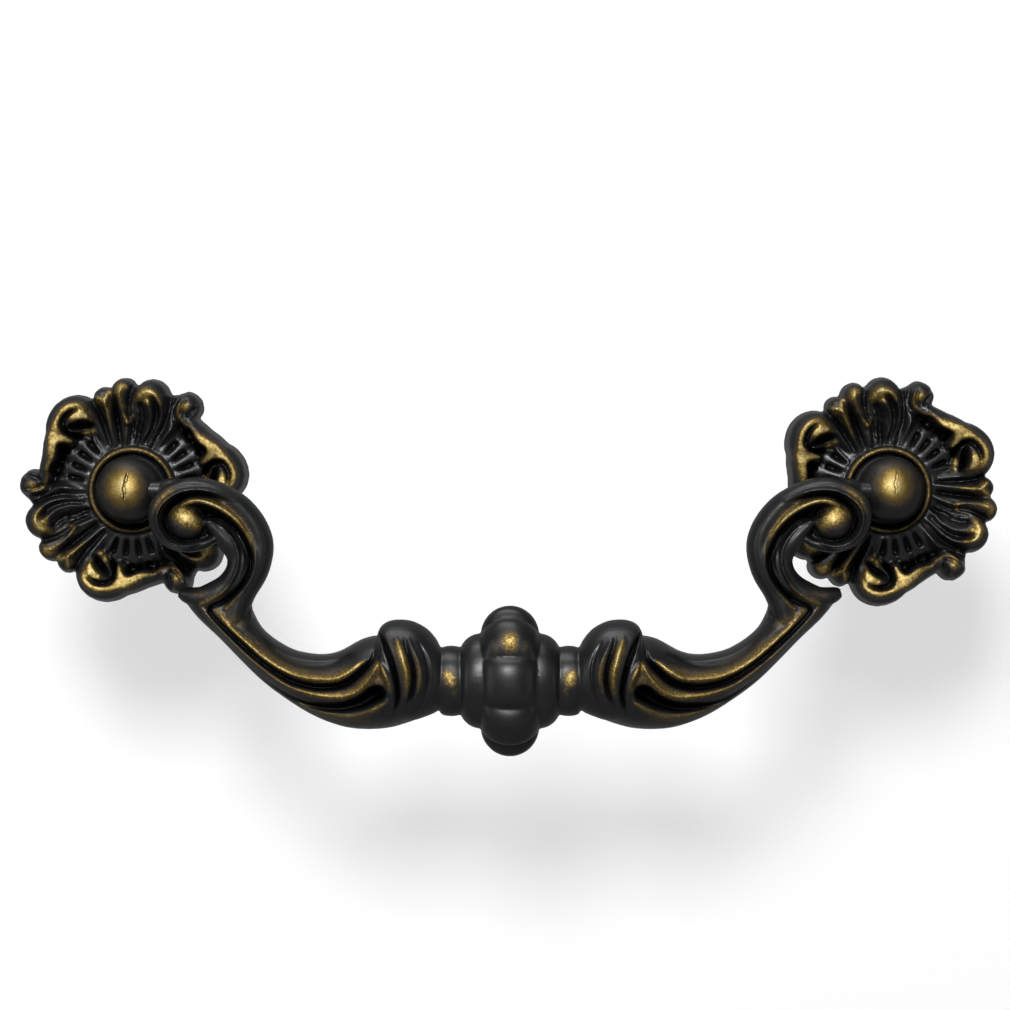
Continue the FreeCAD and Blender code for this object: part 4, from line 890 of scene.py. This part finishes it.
def round_tool(radius, depth):
    """A cylinder across the drawer front, to cut with."""
    bpy.ops.mesh.primitive_cylinder_add(vertices=96, radius=radius * MM, depth=depth * MM, rotation=(math.pi / 2, 0, 0))
    return bpy.context.object


def make_rosette(side, first, name, node_name):
    height = rosette_height(first)
    xs, zs = rosette_board
    bpy.ops.object.select_all(action="DESELECT")
    bpy.ops.mesh.primitive_grid_add(x_subdivisions=len(xs) - 1, y_subdivisions=len(zs) - 1, size=1)
    piece = bpy.context.object
    piece.name = name
    points = points_of(piece) * MM
    x = xs[0] + (points[:, 0] + 0.5) * (xs[-1] - xs[0])
    z = zs[0] + (points[:, 1] + 0.5) * (zs[-1] - zs[0])
    set_points(piece, np.stack([x, -read_board(rosette_board, height, x, z), z], axis=1))
    # a slab with the relief on its front, then everything behind the drawer front is cut away
    bpy.ops.object.mode_set(mode="EDIT")
    bpy.ops.mesh.select_all(action="DESELECT")
    bpy.ops.mesh.select_non_manifold()
    bpy.ops.mesh.extrude_edges_move(TRANSFORM_OT_translate={"value": (0, MM, 0)})
    bpy.ops.mesh.edge_face_add()
    bpy.ops.mesh.select_all(action="SELECT")
    bpy.ops.mesh.normals_make_consistent(inside=False)
    bpy.ops.object.mode_set(mode="OBJECT")
    applied(piece, "REMESH", mode="VOXEL", voxel_size=0.16 * MM, adaptivity=0)
    applied(piece, "SMOOTH", factor=0.5, iterations=2)
    bpy.ops.object.select_all(action="DESELECT")
    bpy.ops.mesh.primitive_cube_add(size=60 * MM, location=(0, 30 * MM, 0))
    behind = bpy.context.object
    bore = round_tool(3.58, 20)
    # ring-shaped hollow in the back, round a solid middle
    hollow, middle = round_tool(12.0, 1.8), round_tool(5.2, 4)
    applied(hollow, "BOOLEAN", operation="DIFFERENCE", object=middle, solver="MANIFOLD")
    bpy.data.objects.remove(middle)
    for tool in (behind, bore, hollow):
        applied(piece, "BOOLEAN", operation="DIFFERENCE", object=tool, solver="MANIFOLD")
        bpy.data.objects.remove(tool)
    faces = len(piece.data.polygons) * 2
    applied(piece, "DECIMATE", ratio=min(1, 190000 / faces))
    points = points_of(piece)
    facing = np.clip((-normals_of(piece)[:, 1] - 0.1) / 0.4, 0, 1)
    write_mask(piece, "rub", facing * read_board(rosette_board, rosette_rub(first), points[:, 0], points[:, 2]))
    # the hollows of the rosette's front, painted darker: partly stain, partly painted shade
    stain_and_shade = read_board(rosette_board, sunk_parts(height, 9, 1.5), points[:, 0], points[:, 2])
    write_mask(piece, "stain_and_shade", np.where(points[:, 1] < -1.2, stain_and_shade, 0))
    points[:, 0] += side * post_x
    set_points(piece, points)
    only(piece)
    bpy.ops.object.shade_smooth()
    # the sawn back is flat
    for face in piece.data.polygons:
        face.use_smooth = face.normal.y < 0.9
    piece.data.materials.clear()
    piece.data.materials.append(bronze)
    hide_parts(node_name)
    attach(piece, "mounting")
    print(name, len(piece.data.polygons))
    return piece


left_rosette = make_rosette(-1, 60, "left_rosette_casting", "left_rosette")
right_rosette = make_rosette(1, 74, "right_rosette_casting", "right_rosette")


# Posts
# Turned posts: a ball head with a seam down its front, a neck, and the flange that holds the
# rosette down. The head is rubbed to brass in one round patch.
post_outline = [(5.85, 3.4), (5.9, 3.7), (5.9, 4.1), (5.6, 4.4), (4.7, 4.5), (4.5, 4.9), (4.5, 5.4), (4.9, 5.5)]
head_radius, head_depth = 5.65, 8.2
for step in range(101):
    turn = math.radians(-28 + 118 * step / 100)
    post_outline.append((head_radius * math.cos(turn), head_depth + head_radius * math.sin(turn)))


def seam_marks(x, z, seam):
    """Slivers of metal along the head's seam, and the crack and pits beside them, both from 0 to 1."""
    middle, lean, top, bottom = seam
    along = np.clip((top - z) / (top - bottom), 0, 1)
    side = x - middle - lean * (along - 0.5) - 0.16 * np.sin(7.5 * along + 0.6) - 0.07 * np.sin(19 * along)
    inside = np.clip(8 * np.minimum(along, 1 - along), 0, 1)
    pits = 0.95 * inside * np.exp(-(side / 0.1) ** 2)
    beads = np.zeros_like(x)
    for spot, off, tall, wide in ((0.1, 0.2, 0.3, 0.16), (0.27, 0.28, 0.42, 0.2), (0.44, 0.22, 0.26, 0.15),
                                  (0.62, 0.3, 0.5, 0.22), (0.79, -0.26, 0.3, 0.18), (0.9, 0.24, 0.28, 0.2)):
        share = np.hypot((side - off) / wide, (along - spot) * (top - bottom) / tall)
        beads = np.maximum(beads, np.clip(1 - share**2, 0, 1))
        pits = np.maximum(pits, inside * np.exp(-((share - 1.2) / 0.2) ** 2) * (0.7 - 0.55 * spot))
    return beads, np.clip(pits, 0, 1)


def make_post(side, name, node_name, patch, seam, seam_depth):
    outline = [(3.5, 0.0), (3.5, 3.4)] + post_outline[:-1] + [(0.02, head_depth + head_radius)]
    piece = loft([
        [(side * post_x + r * math.cos(2 * math.pi * k / 288), -depth, r * math.sin(2 * math.pi * k / 288))
         for k in range(288)]
        for r, depth in outline
    ])
    piece.name = name
    points = points_of(piece)
    front = np.clip((-points[:, 1] - head_depth) / 2, 0, 1)
    x, z = points[:, 0] - side * post_x, points[:, 2]
    beads, pits = seam_marks(x, z, seam)
    points[:, 1] -= seam_depth * front * (0.07 * beads - 0.14 * pits)
    set_points(piece, points)
    away = np.hypot((x - patch[0]) / patch[2], (z - patch[1]) / patch[3])
    rub = 0.97 * eased(away) ** 0.9
    rub = rub * (1 - 0.85 * seam_depth * pits) + 0.35 * seam_depth * beads * (rub > 0.05)
    write_mask(piece, "rub", front * rub)
    only(piece)
    bpy.ops.object.shade_smooth()
    piece.data.materials.append(smooth_bronze)
    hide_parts(node_name)
    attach(piece, "mounting")
    return piece


# patch: its middle, half width and half height; seam: its middle, lean, top and bottom
left_post = make_post(-1, "left_post_turning", "left_post", (-0.4, 0.4, 5.3, 5.4), (-0.3, -0.35, 3.2, -2.2), 1.0)
right_post = make_post(1, "right_post_turning", "right_post", (0.1, 0.9, 5.0, 5.2), (0.2, -0.3, 3.6, -1.0), 0.35)


# Screws
# Zinc plated steel, kept as the frame gives them.
plated, plated_nodes, plated_links = new_material("zinc_plate")
plated_shader = plated_nodes["Principled BSDF"]
plated_shader.inputs["Base Color"].default_value = (0.62, 0.62, 0.6, 1)
plated_shader.inputs["Metallic"].default_value = 1
for screw_name in ("left_screw", "right_screw"):
    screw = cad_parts[screw_name]
    screw.data.materials.clear()
    screw.data.materials.append(plated)


# Room
# A pale floor and a white backdrop well behind the pull, soft light from the upper left.
bpy.ops.object.select_all(action="DESELECT")
bpy.ops.mesh.primitive_plane_add(size=3, location=(0, 0.06, 0), rotation=(math.radians(90), 0, 0))
backdrop = bpy.context.object
backdrop.name = "backdrop"
bpy.ops.mesh.primitive_plane_add(size=3, location=(0, 0, -0.25))
floor = bpy.context.object
floor.name = "floor"
pale, pale_nodes, pale_links = new_material("pale_card")
pale_shader = pale_nodes["Principled BSDF"]
pale_shader.inputs["Roughness"].default_value = 0.9
pale_shader.inputs["Specular IOR Level"].default_value = 0.1
# the card looks white to the camera, and still keeps part of the pull's shadow; the metal
# and the lamps' bounce meet a dimmer card
seen = pale_nodes.new("ShaderNodeLightPath")
shade = node(pale_nodes, "ShaderNodeMix", data_type="RGBA")
shade.inputs["A"].default_value = (0.15, 0.15, 0.15, 1)
shade.inputs["B"].default_value = (0.38, 0.38, 0.38, 1)
pale_links.new(seen.outputs["Is Camera Ray"], shade.inputs["Factor"])
pale_links.new(shade.outputs["Result"], pale_shader.inputs["Base Color"])
glow = pale_nodes.new("ShaderNodeEmission")
both = pale_nodes.new("ShaderNodeAddShader")
mirrored_card = node(pale_nodes, "ShaderNodeMath", operation="ADD")
pale_links.new(seen.outputs["Is Glossy Ray"], mirrored_card.inputs[0])
pale_links.new(seen.outputs["Is Transmission Ray"], mirrored_card.inputs[1])
seen_share = node(pale_nodes, "ShaderNodeMath", operation="MULTIPLY_ADD")
pale_links.new(mirrored_card.outputs[0], seen_share.inputs[0])
seen_share.inputs[1].default_value = 0.25
pale_links.new(seen.outputs["Is Camera Ray"], seen_share.inputs[2])
lift = node(pale_nodes, "ShaderNodeMath", operation="MULTIPLY")
lift.inputs[1].default_value = 0.57
pale_links.new(seen_share.outputs[0], lift.inputs[0])
pale_links.new(lift.outputs[0], glow.inputs["Strength"])
pale_links.new(pale_shader.outputs["BSDF"], both.inputs[0])
pale_links.new(glow.outputs["Emission"], both.inputs[1])
# from behind, the card is clear, so that the back of the pull can be seen through it
side_seen = pale_nodes.new("ShaderNodeNewGeometry")
one_sided = pale_nodes.new("ShaderNodeMixShader")
clear = pale_nodes.new("ShaderNodeBsdfTransparent")
pale_links.new(side_seen.outputs["Backfacing"], one_sided.inputs[0])
pale_links.new(both.outputs["Shader"], one_sided.inputs[1])
pale_links.new(clear.outputs["BSDF"], one_sided.inputs[2])
pale_links.new(one_sided.outputs["Shader"], pale_nodes["Material Output"].inputs["Surface"])
for card in (backdrop, floor):
    card.data.materials.append(pale)

world = bpy.data.worlds.new("studio")
bpy.context.scene.world = world
world.use_nodes = True
world.node_tree.nodes["Background"].inputs["Color"].default_value = (1, 1, 1, 1)
# white to the camera, faint for everything else
world_nodes, world_links = world.node_tree.nodes, world.node_tree.links
world_path = world_nodes.new("ShaderNodeLightPath")
world_level = node(world_nodes, "ShaderNodeMapRange")
world_level.inputs["To Min"].default_value = 0.05
world_level.inputs["To Max"].default_value = 1
world_links.new(world_path.outputs["Is Camera Ray"], world_level.inputs["Value"])
world_links.new(world_level.outputs["Result"], world_nodes["Background"].inputs["Strength"])


def soft_box(name, place, aim, width, height, power):
    bpy.ops.object.light_add(type="AREA", location=place)
    lamp = bpy.context.object
    lamp.name = name
    lamp.data.shape = "RECTANGLE"
    lamp.data.size, lamp.data.size_y = width, height
    lamp.data.energy = power
    lamp.rotation_euler = (Vector(aim) - Vector(place)).to_track_quat("-Z", "Y").to_euler()
    return lamp


soft_box("key", (-0.08, -0.8, 0.32), (0, 0, -0.01), 0.2, 0.2, 8.5)
soft_box("top", (-0.1, -0.25, 0.8), (0, 0, -0.01), 0.6, 0.25, 3.8)
soft_box("left", (-0.8, -0.5, 0.1), (0, 0, -0.01), 0.3, 0.6, 1.2)
soft_box("right", (0.8, -0.5, 0.0), (0, 0, -0.01), 0.3, 0.6, 0.5)

bpy.context.scene.view_settings.view_transform = "Standard"
bpy.context.view_layer.update()
